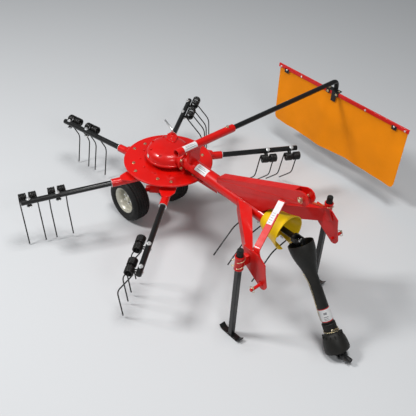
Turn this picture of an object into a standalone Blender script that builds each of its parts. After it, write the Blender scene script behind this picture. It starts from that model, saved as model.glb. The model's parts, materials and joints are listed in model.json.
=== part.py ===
"""Single-rotor rotary hay rake for a compact tractor.

X points forward to the tractor, Y to the machine's left, Z up.  The model is laid out around the
rotor's axis and then moved as a whole, so that the origin is under the middle of the machine.
"""
import math

import bmesh
import bpy
from mathutils import Matrix, Vector

# Whole machine
NAME = "rotary_hay_rake"
MIDDLE_FROM_ROTOR = (0.39091, 0.26876)
FIT_GAP = 0.0003

# Rotor
ARM_COUNT = 6
ROTOR_PHASE = math.radians(7.4)
DISC_RADIUS = 0.338
DISC_TOP = 0.606
DISC_THICKNESS = 0.005
DISC_RIM_DROP = 0.020
ARM_OFFSET = 0.067
ARM_DROOP = math.radians(4.2)
SOCKET_START = 0.150
SOCKET_END = 0.460
SOCKET_END_HEIGHT = 0.513
SOCKET_RADIUS = 0.031
TUBE_RADIUS = 0.021
TUBE_START = 0.300
TUBE_END = 1.130
TINE_STATIONS = (0.862, 1.074)
TINE_HALF_SPREAD = 0.061
COIL_SPREAD = 0.037
COIL_RADIUS = 0.034
COIL_LENGTH = 0.056
COIL_BACK = 0.067
KINK = (-0.149, -0.198)
TINE_END = (-0.114, -0.446)
WIRE_RADIUS = 0.0048
ARM_TURNS = (-60.0, 37.0, -12.0, 2.5, 6.0, -1.0)

# Middle column and gearbox
COLUMN_RADIUS = 0.030
HUB_RADIUS = 0.085
GEARBOX_BASE = 0.640
GEARBOX_RADIUS = 0.175
CRANK_SPOT = (-0.087, 0.105)
BEAM_RADIUS = 0.052
BEAM_HEIGHT = 0.700
BEAM_START = 0.200
BEAM_END = 1.060

# Hitch
HITCH_X = 1.350
HITCH_HALF = 0.350
HITCH_HEIGHT = 0.543
PIN_LENGTH = 0.095
PIN_RADIUS = 0.011
TOP_LINK_X = 1.318
TOP_LINK_HEIGHT = 1.052
PLATE = 0.010

# Stands
STAND_X = 1.214
STAND_Y = 0.428
STAND_BASE = 0.592
LEG_SIDE = 0.036

# Curtain
CURTAIN_X = 0.285
CURTAIN_ARM_HEIGHT = 0.880
CURTAIN_Y = 1.530
RAIL_HEIGHT = 0.775
RAIL_BACK = -0.335
RAIL_FRONT = 1.065

# Wheels
WHEEL_X = -0.226
WHEEL_Y = 0.203
TYRE_RADIUS = 0.185
TYRE_WIDTH = 0.150

# Drive shaft
INPUT_HEIGHT = 0.700
JOINT_X = 1.335
SHAFT_DROP = math.radians(54.7)
SHAFT_LENGTH = 0.812
SHAFT_SPLIT = 0.588
OUTER_TUBE_RADIUS = 0.040
BELL_RADIUS = 0.088


def clear_scene():
    for thing in list(bpy.data.objects):
        bpy.data.objects.remove(thing, do_unlink=True)


clear_scene()
PARTS = bpy.data.collections.new(NAME)
CUTTERS = bpy.data.collections.new("cutters")
bpy.context.scene.collection.children.link(PARTS)
bpy.context.scene.collection.children.link(CUTTERS)
CENTRE = bpy.data.objects.new("rake_middle", None)
CENTRE.location = (-MIDDLE_FROM_ROTOR[0], -MIDDLE_FROM_ROTOR[1], 0.0)
PARTS.objects.link(CENTRE)


def paint(name, colour, roughness, metallic=0.0):
    material = bpy.data.materials.new(name)
    material.use_nodes = True
    shader = material.node_tree.nodes["Principled BSDF"]
    shader.inputs["Base Color"].default_value = (*colour, 1.0)
    shader.inputs["Roughness"].default_value = roughness
    shader.inputs["Metallic"].default_value = metallic
    material.diffuse_color = (*colour, 1.0)
    return material


COLOURS = {
    "red": ((0.62, 0.012, 0.008), 0.30, 0.0),
    "black": ((0.012, 0.012, 0.012), 0.38, 0.0),
    "orange": ((0.70, 0.22, 0.01), 0.70, 0.0),
    "yellow": ((0.72, 0.50, 0.01), 0.45, 0.0),
    "cream": ((0.66, 0.62, 0.52), 0.40, 0.1),
    "rubber": ((0.018, 0.018, 0.018), 0.85, 0.0),
    "zinc": ((0.62, 0.56, 0.42), 0.32, 0.9),
}


PIVOT_PLACES = {CENTRE.name: Matrix.Identity(4)}


def pivot(name, place, parent=CENTRE):
    """An empty on a joint's axis, which the pieces that the joint moves hang from."""
    empty = bpy.data.objects.new(name, None)
    empty.empty_display_size = 0.05
    empty.parent = parent
    empty.matrix_basis = PIVOT_PLACES[parent.name].inverted() @ place
    PIVOT_PLACES[name] = place
    PARTS.objects.link(empty)
    return empty


def settle(thing, name, colour, parent=CENTRE):
    """Name a finished object, give it its own material, hang it from its pivot and file it."""
    thing.name = name
    if thing.data.users > 1:
        thing.data = thing.data.copy()
    thing.data.name = name
    thing.data.materials.clear()
    thing.data.materials.append(paint(name + "_finish", *COLOURS[colour]))
    for old in list(thing.users_collection):
        old.objects.unlink(thing)
    PARTS.objects.link(thing)
    thing.data.transform(PIVOT_PLACES[parent.name].inverted())
    thing.parent = parent
    return thing


def bake(thing):
    """Turn an object with its transform and modifiers into a plain mesh at the origin."""
    bpy.context.view_layer.update()
    graph = bpy.context.evaluated_depsgraph_get()
    mesh = bpy.data.meshes.new_from_object(thing.evaluated_get(graph))
    mesh.transform(thing.matrix_world)
    solid = bpy.data.objects.new(thing.name, mesh)
    bpy.context.scene.collection.objects.link(solid)
    bpy.data.objects.remove(thing, do_unlink=True)
    return solid


def weld(thing, distance=0.00005):
    work = bmesh.new()
    work.from_mesh(thing.data)
    bmesh.ops.remove_doubles(work, verts=work.verts, dist=distance)
    bmesh.ops.recalc_face_normals(work, faces=work.faces)
    work.to_mesh(thing.data)
    work.free()
    return thing


def box(low, high, bevel=0.0):
    size = [b - a for a, b in zip(low, high)]
    centre = [(a + b) / 2 for a, b in zip(low, high)]
    bpy.ops.mesh.primitive_cube_add(size=1.0, location=centre)
    thing = bpy.context.object
    thing.scale = size
    if bevel:
        bpy.ops.object.transform_apply(location=False, rotation=False, scale=True)
        edges = thing.modifiers.new("edges", "BEVEL")
        edges.width = bevel
        edges.segments = 1
    return bake(thing)


def aim(start, end):
    """The turn that takes local Z to the line from start to end, with local X kept level."""
    along = (Vector(end) - Vector(start)).normalized()
    return along.to_track_quat("Z", "Y")


def rod(start, end, radius, sides=20, tip=None):
    """A round bar from start to end, tapering to tip where that is given."""
    start, end = Vector(start), Vector(end)
    bpy.ops.mesh.primitive_cone_add(vertices=sides, radius1=radius, radius2=radius if tip is None else tip,
                                    depth=(end - start).length, location=(start + end) / 2)
    thing = bpy.context.object
    thing.rotation_mode = "QUATERNION"
    thing.rotation_quaternion = aim(start, end)
    return bake(thing)


def turned(profile, steps=32, place=None):
    """A closed (radius, height) outline spun about the Z axis, then moved by place."""
    mesh = bpy.data.meshes.new("outline")
    points = [(radius, 0.0, height) for radius, height in profile]
    count = len(points)
    closed = abs(points[0][0]) > 1e-9 and abs(points[-1][0]) > 1e-9
    edges = [(i, (i + 1) % count) for i in range(count if closed else count - 1)]
    mesh.from_pydata(points, edges, [])
    thing = bpy.data.objects.new("turned", mesh)
    bpy.context.scene.collection.objects.link(thing)
    screw = thing.modifiers.new("spin", "SCREW")
    screw.steps = screw.render_steps = steps
    screw.use_merge_vertices = True
    screw.merge_threshold = 0.0001
    screw.use_normal_calculate = True
    solid = weld(bake(thing))
    if place is not None:
        solid.data.transform(place)
    return solid


def wire(points, radius, closed=False):
    """A round wire through straight runs between points."""
    curve = bpy.data.curves.new("wire", "CURVE")
    curve.dimensions = "3D"
    curve.bevel_depth = radius
    curve.bevel_resolution = 2
    curve.use_fill_caps = True
    line = curve.splines.new("POLY")
    line.points.add(len(points) - 1)
    line.use_cyclic_u = closed
    for knot, point in zip(line.points, points):
        knot.co = (*point, 1.0)
    thing = bpy.data.objects.new("wire", curve)
    bpy.context.scene.collection.objects.link(thing)
    return weld(bake(thing))


def plate(outline, thickness, place):
    """A flat outline in local XY, extruded to thickness about its middle, then moved by place."""
    curve = bpy.data.curves.new("plate", "CURVE")
    curve.dimensions = "2D"
    curve.fill_mode = "BOTH"
    curve.extrude = thickness / 2
    line = curve.splines.new("POLY")
    line.points.add(len(outline) - 1)
    line.use_cyclic_u = True
    for knot, point in zip(line.points, outline):
        knot.co = (point[0], point[1], 0.0, 1.0)
    thing = bpy.data.objects.new("plate", curve)
    bpy.context.scene.collection.objects.link(thing)
    solid = weld(bake(thing))
    solid.data.transform(place)
    return solid


def combine(base, others, operation):
    """Join or cut base with each of the others, which are used up."""
    for other in others:
        for old in list(other.users_collection):
            old.objects.unlink(other)
        CUTTERS.objects.link(other)
        step = base.modifiers.new(operation.lower(), "BOOLEAN")
        step.operation = operation
        step.solver = "EXACT"
        step.object = other
        base = bake(base)
        bpy.data.objects.remove(other, do_unlink=True)
    return base


def join(base, *others):
    return combine(base, others, "UNION")


def cut(base, *others):
    return combine(base, others, "DIFFERENCE")


def round_end(centre, radius, start, end, steps=6):
    """Points of an arc about centre, from one angle in degrees to another."""
    turns = [math.radians(start + (end - start) * i / steps) for i in range(steps + 1)]
    return [(centre[0] + radius * math.cos(a), centre[1] + radius * math.sin(a)) for a in turns]


def mirrored(thing):
    """A copy of a mesh on the other side of the machine's middle plane."""
    mesh = thing.data.copy()
    mesh.transform(Matrix.Scale(-1.0, 4, (0.0, 1.0, 0.0)))
    mesh.flip_normals()
    copy = bpy.data.objects.new(thing.name, mesh)
    bpy.context.scene.collection.objects.link(copy)
    return copy


# ---------------------------------------------------------------- rotor

def arm_place(index):
    """World place of an arm's line: local X runs out along the arm, local Z is up."""
    turn = Matrix.Rotation(ROTOR_PHASE + index * math.tau / ARM_COUNT, 4, "Z")
    droop = Matrix.Rotation(ARM_DROOP, 4, "Y")
    foot = Matrix.Translation((SOCKET_END, ARM_OFFSET, SOCKET_END_HEIGHT))
    back = Matrix.Translation((-SOCKET_END, 0.0, 0.0))
    return turn @ foot @ droop @ back


def rotor_disc(spin):
    under = DISC_TOP - DISC_THICKNESS
    rim = DISC_RADIUS
    disc = turned([(HUB_RADIUS + FIT_GAP, DISC_TOP), (rim - 0.022, DISC_TOP), (rim, DISC_TOP - 0.008),
                   (rim, DISC_TOP - DISC_RIM_DROP), (rim - DISC_THICKNESS, DISC_TOP - DISC_RIM_DROP),
                   (rim - DISC_THICKNESS, DISC_TOP - 0.012), (rim - 0.024, under),
                   (HUB_RADIUS + FIT_GAP, under)], 48)
    return settle(disc, "rotor_disc", "red", spin)


def rotor_hub(spin):
    hub = turned([(COLUMN_RADIUS + 0.006, GEARBOX_BASE - 0.010), (HUB_RADIUS, GEARBOX_BASE - 0.010),
                  (HUB_RADIUS, 0.470), (COLUMN_RADIUS + 0.006, 0.470)], 32)
    return settle(hub, "rotor_hub", "red", spin)


def arm_socket(index, spin):
    place = arm_place(index)
    tube = rod((SOCKET_START, 0, 0), (SOCKET_END, 0, 0), SOCKET_RADIUS, 20)
    foot = box((SOCKET_START, -0.050, 0.0), (SOCKET_START + 0.130, 0.050, 0.052))
    gusset = plate([(0.20, -0.060), (0.330, -0.060), (0.388, -0.026), (0.388, 0.026), (0.330, 0.060),
                    (0.20, 0.060)], 0.010, Matrix.Translation((0, 0, SOCKET_RADIUS - 0.004)))
    body = join(tube, foot, gusset)
    body.data.transform(place)
    bore = rod((TUBE_START - 0.01, 0, 0), (SOCKET_END + 0.02, 0, 0), TUBE_RADIUS + 0.0022, 20)
    bore.data.transform(place)
    under_disc = box((-0.6, -0.6, DISC_TOP - DISC_THICKNESS - FIT_GAP), (0.6, 0.6, DISC_TOP + 0.1))
    return settle(cut(body, bore, under_disc), f"arm_socket_{index + 1}", "red", spin)


def tine_leg(station, side):
    """One leg: from its coil's leading side back and down, then a bend that brings the end forward."""
    x = station + side * TINE_HALF_SPREAD
    back, drop = KINK
    route = [(x, -COIL_BACK + 0.028, -0.002), (x, back + 0.013, drop + 0.024), (x, back, drop),
             (x, back, drop - 0.030), (x, *TINE_END)]
    return wire(route, WIRE_RADIUS)


def tine_arm(index, spin):
    tube = rod((TUBE_START, 0, 0), (TUBE_END, 0, 0), TUBE_RADIUS, 16)
    pieces = []
    half = COIL_LENGTH / 2
    for station in TINE_STATIONS:
        pieces.append(box((station - 0.024, -COIL_BACK - 0.004, -0.012), (station + 0.024, 0.006, 0.012)))
        for side in (-1, 1):
            start = (station + side * COIL_SPREAD - half, -COIL_BACK, 0)
            end = (station + side * COIL_SPREAD + half, -COIL_BACK, 0)
            pieces.append(rod(start, end, COIL_RADIUS, 16))
            pieces.append(tine_leg(station, side))
    body = join(tube, *pieces)
    body.data.transform(Matrix.Rotation(math.radians(ARM_TURNS[index]), 4, "X"))
    body.data.transform(arm_place(index))
    foot = arm_place(index) @ Matrix.Translation((SOCKET_END, 0, 0))
    line = pivot(f"tine_arm_{index + 1}_axis", foot, spin)
    return settle(body, f"tine_arm_{index + 1}", "black", line)


# ---------------------------------------------------------------- middle

def column():
    post = turned([(0.0, GEARBOX_BASE - 0.001), (COLUMN_RADIUS, GEARBOX_BASE - 0.001), (COLUMN_RADIUS, 0.342),
                   (0.0, 0.342)], 24)
    return settle(post, "rotor_column", "zinc")


def gearbox():
    r = GEARBOX_RADIUS
    dome = turned([(0.0, 0.735), (0.070, 0.733), (0.125, 0.722), (0.152, 0.704), (0.166, 0.680),
                   (0.168, 0.660), (r, 0.656), (r, GEARBOX_BASE), (0.0, GEARBOX_BASE)], 40)
    x, y = CRANK_SPOT
    boss = rod((x, y, GEARBOX_BASE + 0.01), (x, y, 0.752), 0.030, 20)
    bridge = box((x, 0.0, 0.70), (x + 0.050, y, 0.745))
    dome = join(dome, boss, bridge)
    return settle(dome, "gearbox", "red")


def main_beam():
    beam = rod((BEAM_START, 0, BEAM_HEIGHT), (BEAM_END, 0, BEAM_HEIGHT), BEAM_RADIUS, 28)
    flange = rod((BEAM_START, 0, BEAM_HEIGHT), (BEAM_START + 0.014, 0, BEAM_HEIGHT), BEAM_RADIUS + 0.028, 28)
    return settle(join(beam, flange), "main_beam", "red")


def beam_neck():
    neck = rod((0.05, 0, BEAM_HEIGHT), (BEAM_START - FIT_GAP, 0, BEAM_HEIGHT), BEAM_RADIUS + 0.012, 28)
    room = turned([(0.0, 0.900), (GEARBOX_RADIUS + FIT_GAP, 0.900), (GEARBOX_RADIUS + FIT_GAP, 0.600),
                   (0.0, 0.600)], 40)
    return settle(cut(neck, room), "beam_neck", "red")


def input_shaft():
    shaft = rod((BEAM_END + FIT_GAP, 0, INPUT_HEIGHT), (JOINT_X - 0.055, 0, INPUT_HEIGHT), 0.020, 16)
    return settle(shaft, "input_shaft", "black")


def pto_guard():
    back = BEAM_END - 0.020
    shell = turned([(0.064, 0.0), (0.070, 0.0), (0.092, 0.045), (0.108, 0.130), (0.128, 0.195), (0.122, 0.195),
                    (0.102, 0.131), (0.086, 0.049)], 36)
    shell.data.transform(Matrix.Translation((back, 0, INPUT_HEIGHT)) @ Matrix.Rotation(math.pi / 2, 4, "Y"))
    mouth = box((back + 0.105, -0.036, INPUT_HEIGHT - 0.2), (back + 0.3, 0.036, INPUT_HEIGHT))
    return settle(cut(shell, mouth), "pto_guard", "yellow")


# ---------------------------------------------------------------- headstock

def top_link_strut():
    """A bar from the beam up to the top link's fork, with a web under it down to the beam."""
    upright = Matrix.Rotation(math.pi / 2, 4, "X")
    end = (TOP_LINK_X, TOP_LINK_HEIGHT)
    bar = [(0.600, 0.722), (0.575, 0.735), (0.566, 0.765), (0.580, 0.787)]
    bar += round_end(end, 0.053, 112, -90)
    body = plate(bar, 0.070, upright)
    web = plate([(0.580, 0.730), (0.640, 0.800), (1.240, 1.020), (0.985, 0.730)], 0.014, upright)
    body = join(body, web)
    beam_room = rod((BEAM_START, 0, BEAM_HEIGHT), (BEAM_END, 0, BEAM_HEIGHT), BEAM_RADIUS + FIT_GAP, 28)
    fork = box((TOP_LINK_X - 0.070, -0.026, 0.8), (TOP_LINK_X + 0.1, 0.026, 1.3))
    hole = rod((*end[:1], -0.1, end[1]), (*end[:1], 0.1, end[1]), PIN_RADIUS + FIT_GAP, 16)
    return settle(cut(body, beam_room, fork, hole), "top_link_strut", "red")


def top_link_pin():
    pin = rod((TOP_LINK_X, -0.062, TOP_LINK_HEIGHT), (TOP_LINK_X, 0.055, TOP_LINK_HEIGHT), PIN_RADIUS, 16)
    return settle(pin, "top_link_pin", "zinc")


def side_arm():
    """A folded channel, open underneath, from the beam out to the stand and the lower hitch plate."""
    level = Matrix.Translation((0, 0, BEAM_HEIGHT - 0.015))
    outline = [(0.790, -0.040), (0.930, -0.040), (1.245, -0.345), (1.180, -0.345)]
    hollow = [(0.806, -0.020), (0.918, -0.020), (1.224, -0.338), (1.188, -0.338)]
    inside = plate(hollow, 0.110, level @ Matrix.Translation((0, 0, -0.008)))
    return cut(plate(outline, 0.110, level), inside)


def lower_plate():
    """Right lower hitch plate, standing lengthwise, running down and forward to the pin."""
    place = Matrix.Translation((0, -HITCH_HALF, 0)) @ Matrix.Rotation(math.pi / 2, 4, "X")
    outline = [(1.170, BEAM_HEIGHT + 0.050), (1.182, 0.640), (1.212, 0.600)]
    outline += round_end((HITCH_X + 0.010, HITCH_HEIGHT), 0.036, -140, 10)
    outline += [(1.372, 0.640), (1.362, 0.705), (1.300, BEAM_HEIGHT + 0.050)]
    return plate(outline, PLATE, place)


def hitch_side(suffix, flip):
    arm = side_arm()
    slot = PLATE / 2 + FIT_GAP
    keep_clear = box((1.0, -HITCH_HALF - slot, 0.3), (1.6, -HITCH_HALF + slot, 1.0))
    beam_room = rod((BEAM_START, 0, BEAM_HEIGHT), (BEAM_END, 0, BEAM_HEIGHT), BEAM_RADIUS + FIT_GAP, 28)
    outer = box((1.0, -0.6, 0.3), (1.6, -HITCH_HALF, 1.0))
    arm = cut(arm, keep_clear, beam_room, outer)
    low = lower_plate()
    hole = rod((HITCH_X, -0.5, HITCH_HEIGHT), (HITCH_X, -0.2, HITCH_HEIGHT), PIN_RADIUS + FIT_GAP, 16)
    low = cut(low, hole)
    pin = rod((HITCH_X, -HITCH_HALF - PIN_LENGTH, HITCH_HEIGHT), (HITCH_X, -HITCH_HALF + 0.02, HITCH_HEIGHT),
              PIN_RADIUS, 16)
    top = Vector((1.172, -0.036, 0.955))
    knee = Vector((1.262, -0.338, BEAM_HEIGHT + 0.062))
    run = knee - top
    along = run.normalized()
    across = (Vector((1, 0, 0)) - along * along.x).normalized()
    place = Matrix.Translation(top) @ Matrix((along, across, along.cross(across))).transposed().to_4x4()
    strut = plate([(0.004, -0.025), (run.length, -0.025), (run.length, 0.025), (0.004, 0.025)], 0.008, place)
    strut = cut(strut, box((0.9, -0.036, 0.5), (1.3, 0.2, 1.2)))
    wall = LEG_SIDE / 2 + 0.008
    top_end = STAND_BASE + 0.14
    stand = box((STAND_X - wall, -STAND_Y - wall, STAND_BASE), (STAND_X + wall, -STAND_Y + wall, top_end))
    inside = -HITCH_HALF - slot
    tongue = box((STAND_X - 0.02, -STAND_Y, STAND_BASE + 0.05), (STAND_X + 0.02, inside, top_end - 0.03))
    stand = join(stand, tongue)
    half = LEG_SIDE / 2 + 0.001
    well = box((STAND_X - half, -STAND_Y - half, 0.4), (STAND_X + half, -STAND_Y + half, 1.0))
    stand = cut(stand, well)
    things = [(arm, "side_arm", "red"), (low, "lower_hitch_plate", "red"), (pin, "lower_hitch_pin", "zinc"),
              (strut, "mast_strut", "red"), (stand, "stand_sleeve", "red")]
    for thing, name, colour in things:
        if flip:
            source = thing
            thing = mirrored(source)
            bpy.data.objects.remove(source, do_unlink=True)
        settle(thing, f"{name}_{suffix}", colour)


def stand_leg(suffix, side):
    half = LEG_SIDE / 2
    y = side * STAND_Y
    leg = box((STAND_X - half, y - half, 0.006), (STAND_X + half, y + half, STAND_BASE + 0.150))
    cap = rod((STAND_X, y, STAND_BASE + 0.146), (STAND_X, y, STAND_BASE + 0.192), 0.0215, 20)
    upright = Matrix.Translation((STAND_X, y, 0)) @ Matrix.Rotation(math.pi / 2, 4, "X")
    foot = plate([(-0.068, 0.0), (0.068, 0.0), (0.098, 0.024), (0.094, 0.031), (0.066, 0.008),
                  (-0.066, 0.008), (-0.094, 0.031), (-0.098, 0.024)], 0.046, upright)
    slide = pivot(f"stand_{suffix}_axis", Matrix.Translation((STAND_X, y, STAND_BASE)))
    return settle(join(leg, cap, foot), f"stand_leg_{suffix}", "black", slide)


# ---------------------------------------------------------------- curtain

def curtain():
    z = CURTAIN_ARM_HEIGHT
    outer = rod((CURTAIN_X, -0.170, z), (CURTAIN_X, 0.380, z), 0.030, 20)
    bore = rod((CURTAIN_X, -0.300, z), (CURTAIN_X, 0.500, z), 0.0245, 20)
    leg = box((CURTAIN_X - 0.02, -0.055, BEAM_HEIGHT + 0.01), (CURTAIN_X + 0.02, 0.045, z - 0.015))
    beam_room = rod((BEAM_START, 0, BEAM_HEIGHT), (BEAM_END, 0, BEAM_HEIGHT), BEAM_RADIUS + FIT_GAP, 28)
    settle(cut(join(outer, leg), bore, beam_room), "curtain_arm", "red")
    bend = [(-0.050, 0.0), (-0.020, -0.008), (-0.004, -0.030), (0.0, -0.055), (0.0, RAIL_HEIGHT - 0.03 - z)]
    leg_y = CURTAIN_Y + 0.063
    route = [(CURTAIN_X, -0.060, z)] + [(CURTAIN_X, leg_y + out, z + up) for out, up in bend]
    inner = wire(route, 0.020)
    reach = pivot("curtain_reach_axis", Matrix.Translation((CURTAIN_X, 0, z)))
    settle(inner, "curtain_slide_tube", "black", reach)
    face = CURTAIN_Y + 0.021
    rail = box((RAIL_BACK, face, RAIL_HEIGHT - 0.012), (RAIL_FRONT, face + 0.008, RAIL_HEIGHT + 0.020))
    lip = box((RAIL_BACK, face, RAIL_HEIGHT + 0.014), (RAIL_FRONT, face + 0.015, RAIL_HEIGHT + 0.020))
    along = pivot("curtain_rail_axis", Matrix.Translation((CURTAIN_X, CURTAIN_Y, RAIL_HEIGHT)), reach)
    settle(join(rail, lip), "curtain_rail", "red", along)
    place = Matrix.Translation((0, CURTAIN_Y + 0.034, 0)) @ Matrix.Rotation(math.pi / 2, 4, "X")
    low, high = 0.225, RAIL_HEIGHT + 0.012
    outline = [(RAIL_BACK + 0.010, high)]
    outline += round_end((RAIL_BACK + 0.050, low + 0.040), 0.040, 180, 270, 4)
    outline += round_end((RAIL_FRONT - 0.060, low + 0.040), 0.040, 270, 360, 4)
    outline += [(RAIL_FRONT - 0.010, high)]
    settle(plate(outline, 0.006, place), "curtain_cloth", "orange", along)


# ---------------------------------------------------------------- running gear

def axle(height):
    post = rod((0, 0, 0.272), (0, 0, 0.420), COLUMN_RADIUS + 0.008, 24)
    upright = Matrix.Rotation(math.pi / 2, 4, "X")
    arm = plate([(WHEEL_X - 0.024, 0.166), (WHEEL_X + 0.024, 0.163), (0.0, 0.280), (0.0, 0.350), (-0.032, 0.350),
                 (WHEEL_X - 0.024, 0.210)], 0.044, upright)
    bar = rod((WHEEL_X, -WHEEL_Y - 0.030, TYRE_RADIUS), (WHEEL_X, WHEEL_Y + 0.030, TYRE_RADIUS), 0.018, 16)
    body = join(arm, post, bar)
    room = rod((0, 0, 0.296), (0, 0, 0.500), COLUMN_RADIUS + 0.001, 24)
    return settle(cut(body, room), "axle_carrier", "red", height)


def wheel(suffix, side, height):
    y = side * WHEEL_Y
    lie = Matrix.Translation((WHEEL_X, y, TYRE_RADIUS)) @ Matrix.Rotation(math.pi / 2, 4, "X")
    hub = pivot(f"wheel_{suffix}_axis", Matrix.Translation((WHEEL_X, y, TYRE_RADIUS)), height)
    half = TYRE_WIDTH / 2
    r = TYRE_RADIUS
    tyre = turned([(0.104, 0.052), (0.125, half - 0.006), (0.150, half), (0.172, half - 0.012),
                   (r, 0.045), (r, -0.045), (0.172, -half + 0.012), (0.150, -half),
                   (0.125, -half + 0.006), (0.104, -0.052)], 40, lie)
    settle(tyre, f"tyre_{suffix}", "rubber", hub)
    rim = turned([(0.020, 0.020), (0.090, 0.020), (0.096, 0.052), (0.1035, 0.052), (0.1035, -0.052),
                  (0.096, -0.052), (0.090, -0.020), (0.020, -0.020)], 40, lie)
    settle(rim, f"wheel_rim_{suffix}", "cream", hub)


def height_crank():
    x, y = CRANK_SPOT
    route = [(x, y, 0.757 + FIT_GAP), (x, y, 0.772), (x - 0.006, y + 0.002, 0.781)]
    route.append((x - 0.136, y + 0.042, 0.781))
    return settle(wire(route, 0.008), "height_crank", "zinc")


# ---------------------------------------------------------------- drive shaft

def along_shaft(distance):
    """The point that lies this far down the drive shaft from its upper joint."""
    slope = Vector((math.cos(SHAFT_DROP), 0, -math.sin(SHAFT_DROP)))
    return Vector((JOINT_X, 0, INPUT_HEIGHT)) + distance * slope


def cross(name, centre, turn, parent):
    """The spider of a universal joint: two short pins at right angles."""
    level = rod((0, -0.026, 0), (0, 0.026, 0), 0.009, 12)
    upright = rod((0, 0, -0.026), (0, 0, 0.026), 0.0083, 14)
    spider = join(level, upright)
    spider.data.transform(Matrix.Translation(centre) @ Matrix.Rotation(turn, 4, "Y"))
    return settle(spider, name, "black", parent)


def drive_shaft():
    top = along_shaft(0)
    end = along_shaft(SHAFT_LENGTH)
    place = Matrix.Translation(top) @ aim(top, end).to_matrix().to_4x4()
    yoke = rod((JOINT_X - 0.055 + FIT_GAP, 0, INPUT_HEIGHT), (JOINT_X - 0.032, 0, INPUT_HEIGHT), 0.034, 20)
    settle(yoke, "input_yoke", "black")
    lift = pivot("shaft_lift_axis", Matrix.Translation(top))
    cross("upper_cross", top, SHAFT_DROP / 2, lift)
    swing = pivot("shaft_swing_axis", place, lift)
    bore = OUTER_TUBE_RADIUS - 0.008
    wide = OUTER_TUBE_RADIUS
    mouth = BELL_RADIUS
    outer = turned([(0.0, 0.110), (0.050, 0.110), (mouth - 0.010, 0.060), (mouth - 0.006, 0.012),
                    (mouth, 0.012), (mouth - 0.001, 0.062), (0.070, 0.135), (0.051, 0.195), (wide, 0.245),
                    (wide, SHAFT_SPLIT), (bore, SHAFT_SPLIT), (bore, 0.300), (0.0, 0.300)], 28, place)
    settle(outer, "pto_outer_tube", "black", swing)
    slim = bore - 0.001
    low = SHAFT_LENGTH
    inner = turned([(0.0, SHAFT_SPLIT - 0.180), (slim, SHAFT_SPLIT - 0.180), (slim, SHAFT_SPLIT + 0.010),
                    (0.046, SHAFT_SPLIT + 0.022), (0.048, low - 0.150), (0.066, low - 0.128),
                    (mouth - 0.006, low - 0.078), (mouth - 0.001, low - 0.018), (mouth - 0.007, low - 0.018),
                    (mouth - 0.013, low - 0.070), (0.050, low - 0.098), (0.0, low - 0.098)], 28, place)
    settle(inner, "pto_inner_tube", "black", pivot("shaft_telescope_axis", place, swing))
    tilt = pivot("shaft_end_axis", Matrix.Translation(end), swing)
    cross("lower_cross", end, SHAFT_DROP / 2, tilt)
    socket = rod(end + Vector((0.030, 0, 0)), end + Vector((0.110, 0, 0)), 0.034, 20)
    settle(socket, "tractor_yoke", "black", tilt)


def build():
    spin = pivot("rotor_axis", Matrix.Translation((0, 0, DISC_TOP)))
    rotor_disc(spin)
    rotor_hub(spin)
    for index in range(ARM_COUNT):
        arm_socket(index, spin)
        tine_arm(index, spin)
    column()
    gearbox()
    beam_neck()
    main_beam()
    input_shaft()
    pto_guard()
    top_link_strut()
    top_link_pin()
    hitch_side("right", False)
    hitch_side("left", True)
    stand_leg("right", -1)
    stand_leg("left", 1)
    curtain()
    height = pivot("height_axis", Matrix.Translation((0, 0, TYRE_RADIUS)))
    axle(height)
    wheel("right", -1, height)
    wheel("left", 1, height)
    height_crank()
    drive_shaft()


build()
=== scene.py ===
"""Detail pieces, finishes and a small studio for the rotary hay rake, laid out as an add-on."""
import json
import math

import bpy
from mathutils import Matrix, Vector


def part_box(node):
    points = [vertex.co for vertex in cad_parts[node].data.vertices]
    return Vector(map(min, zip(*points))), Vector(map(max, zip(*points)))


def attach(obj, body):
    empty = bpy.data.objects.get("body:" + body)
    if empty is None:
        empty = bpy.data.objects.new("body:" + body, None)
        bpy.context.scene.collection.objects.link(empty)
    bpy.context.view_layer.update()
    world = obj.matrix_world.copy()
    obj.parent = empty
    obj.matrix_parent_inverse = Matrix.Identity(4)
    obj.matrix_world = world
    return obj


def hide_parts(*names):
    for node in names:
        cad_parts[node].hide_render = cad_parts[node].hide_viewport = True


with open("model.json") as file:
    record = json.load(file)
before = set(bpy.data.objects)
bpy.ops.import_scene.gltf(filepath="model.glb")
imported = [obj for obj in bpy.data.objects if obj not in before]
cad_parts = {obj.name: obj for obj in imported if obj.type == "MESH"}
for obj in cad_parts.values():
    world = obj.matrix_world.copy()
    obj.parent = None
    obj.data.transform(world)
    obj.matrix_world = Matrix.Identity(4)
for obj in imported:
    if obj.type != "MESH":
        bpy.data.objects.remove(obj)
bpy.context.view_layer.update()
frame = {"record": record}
LABEL_FILM = 0.0004
CLOTH_THICKNESS = 0.0022
SHAFT_SPLIT = 0.588
LEAST_LONG_FORK = 0.07
BELL_RIBS = 12
CAP_FLUTES = 24
LOOP_SWEEP = 4.4
TYRE_BARS = 44
WHEEL_NUTS = 5

bl_info = {
    "name": "Rotary Hay Rake Detailer",
    "version": (1, 0, 0),
    "blender": (4, 5, 0),
    "location": "3D View > Sidebar > Rake",
    "description": "Dresses the rotary hay rake with its detail pieces and finishes",
    "category": "Object",
}


def middle_of(node):
    low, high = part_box(node)
    return (Vector(low) + Vector(high)) / 2


ROTOR = middle_of("rotor_disc")
ROTOR.z = 0.0


def polar(reach, angle):
    return reach * math.cos(angle), reach * math.sin(angle)


def at(x, y, z):
    """A place measured from the rotor's axis: forward, left and up."""
    return Vector((ROTOR.x + x, ROTOR.y + y, z))


# ---------------------------------------------------------------- settings

def colour_setting(name, description, default):
    return bpy.props.FloatVectorProperty(name=name, description=description, default=default, size=3,
                                         subtype="COLOR", min=0.0, max=1.0)


def angle_setting(name, description, degrees):
    return bpy.props.FloatProperty(name=name, description=description, default=math.radians(degrees),
                                   subtype="ANGLE")


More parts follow.
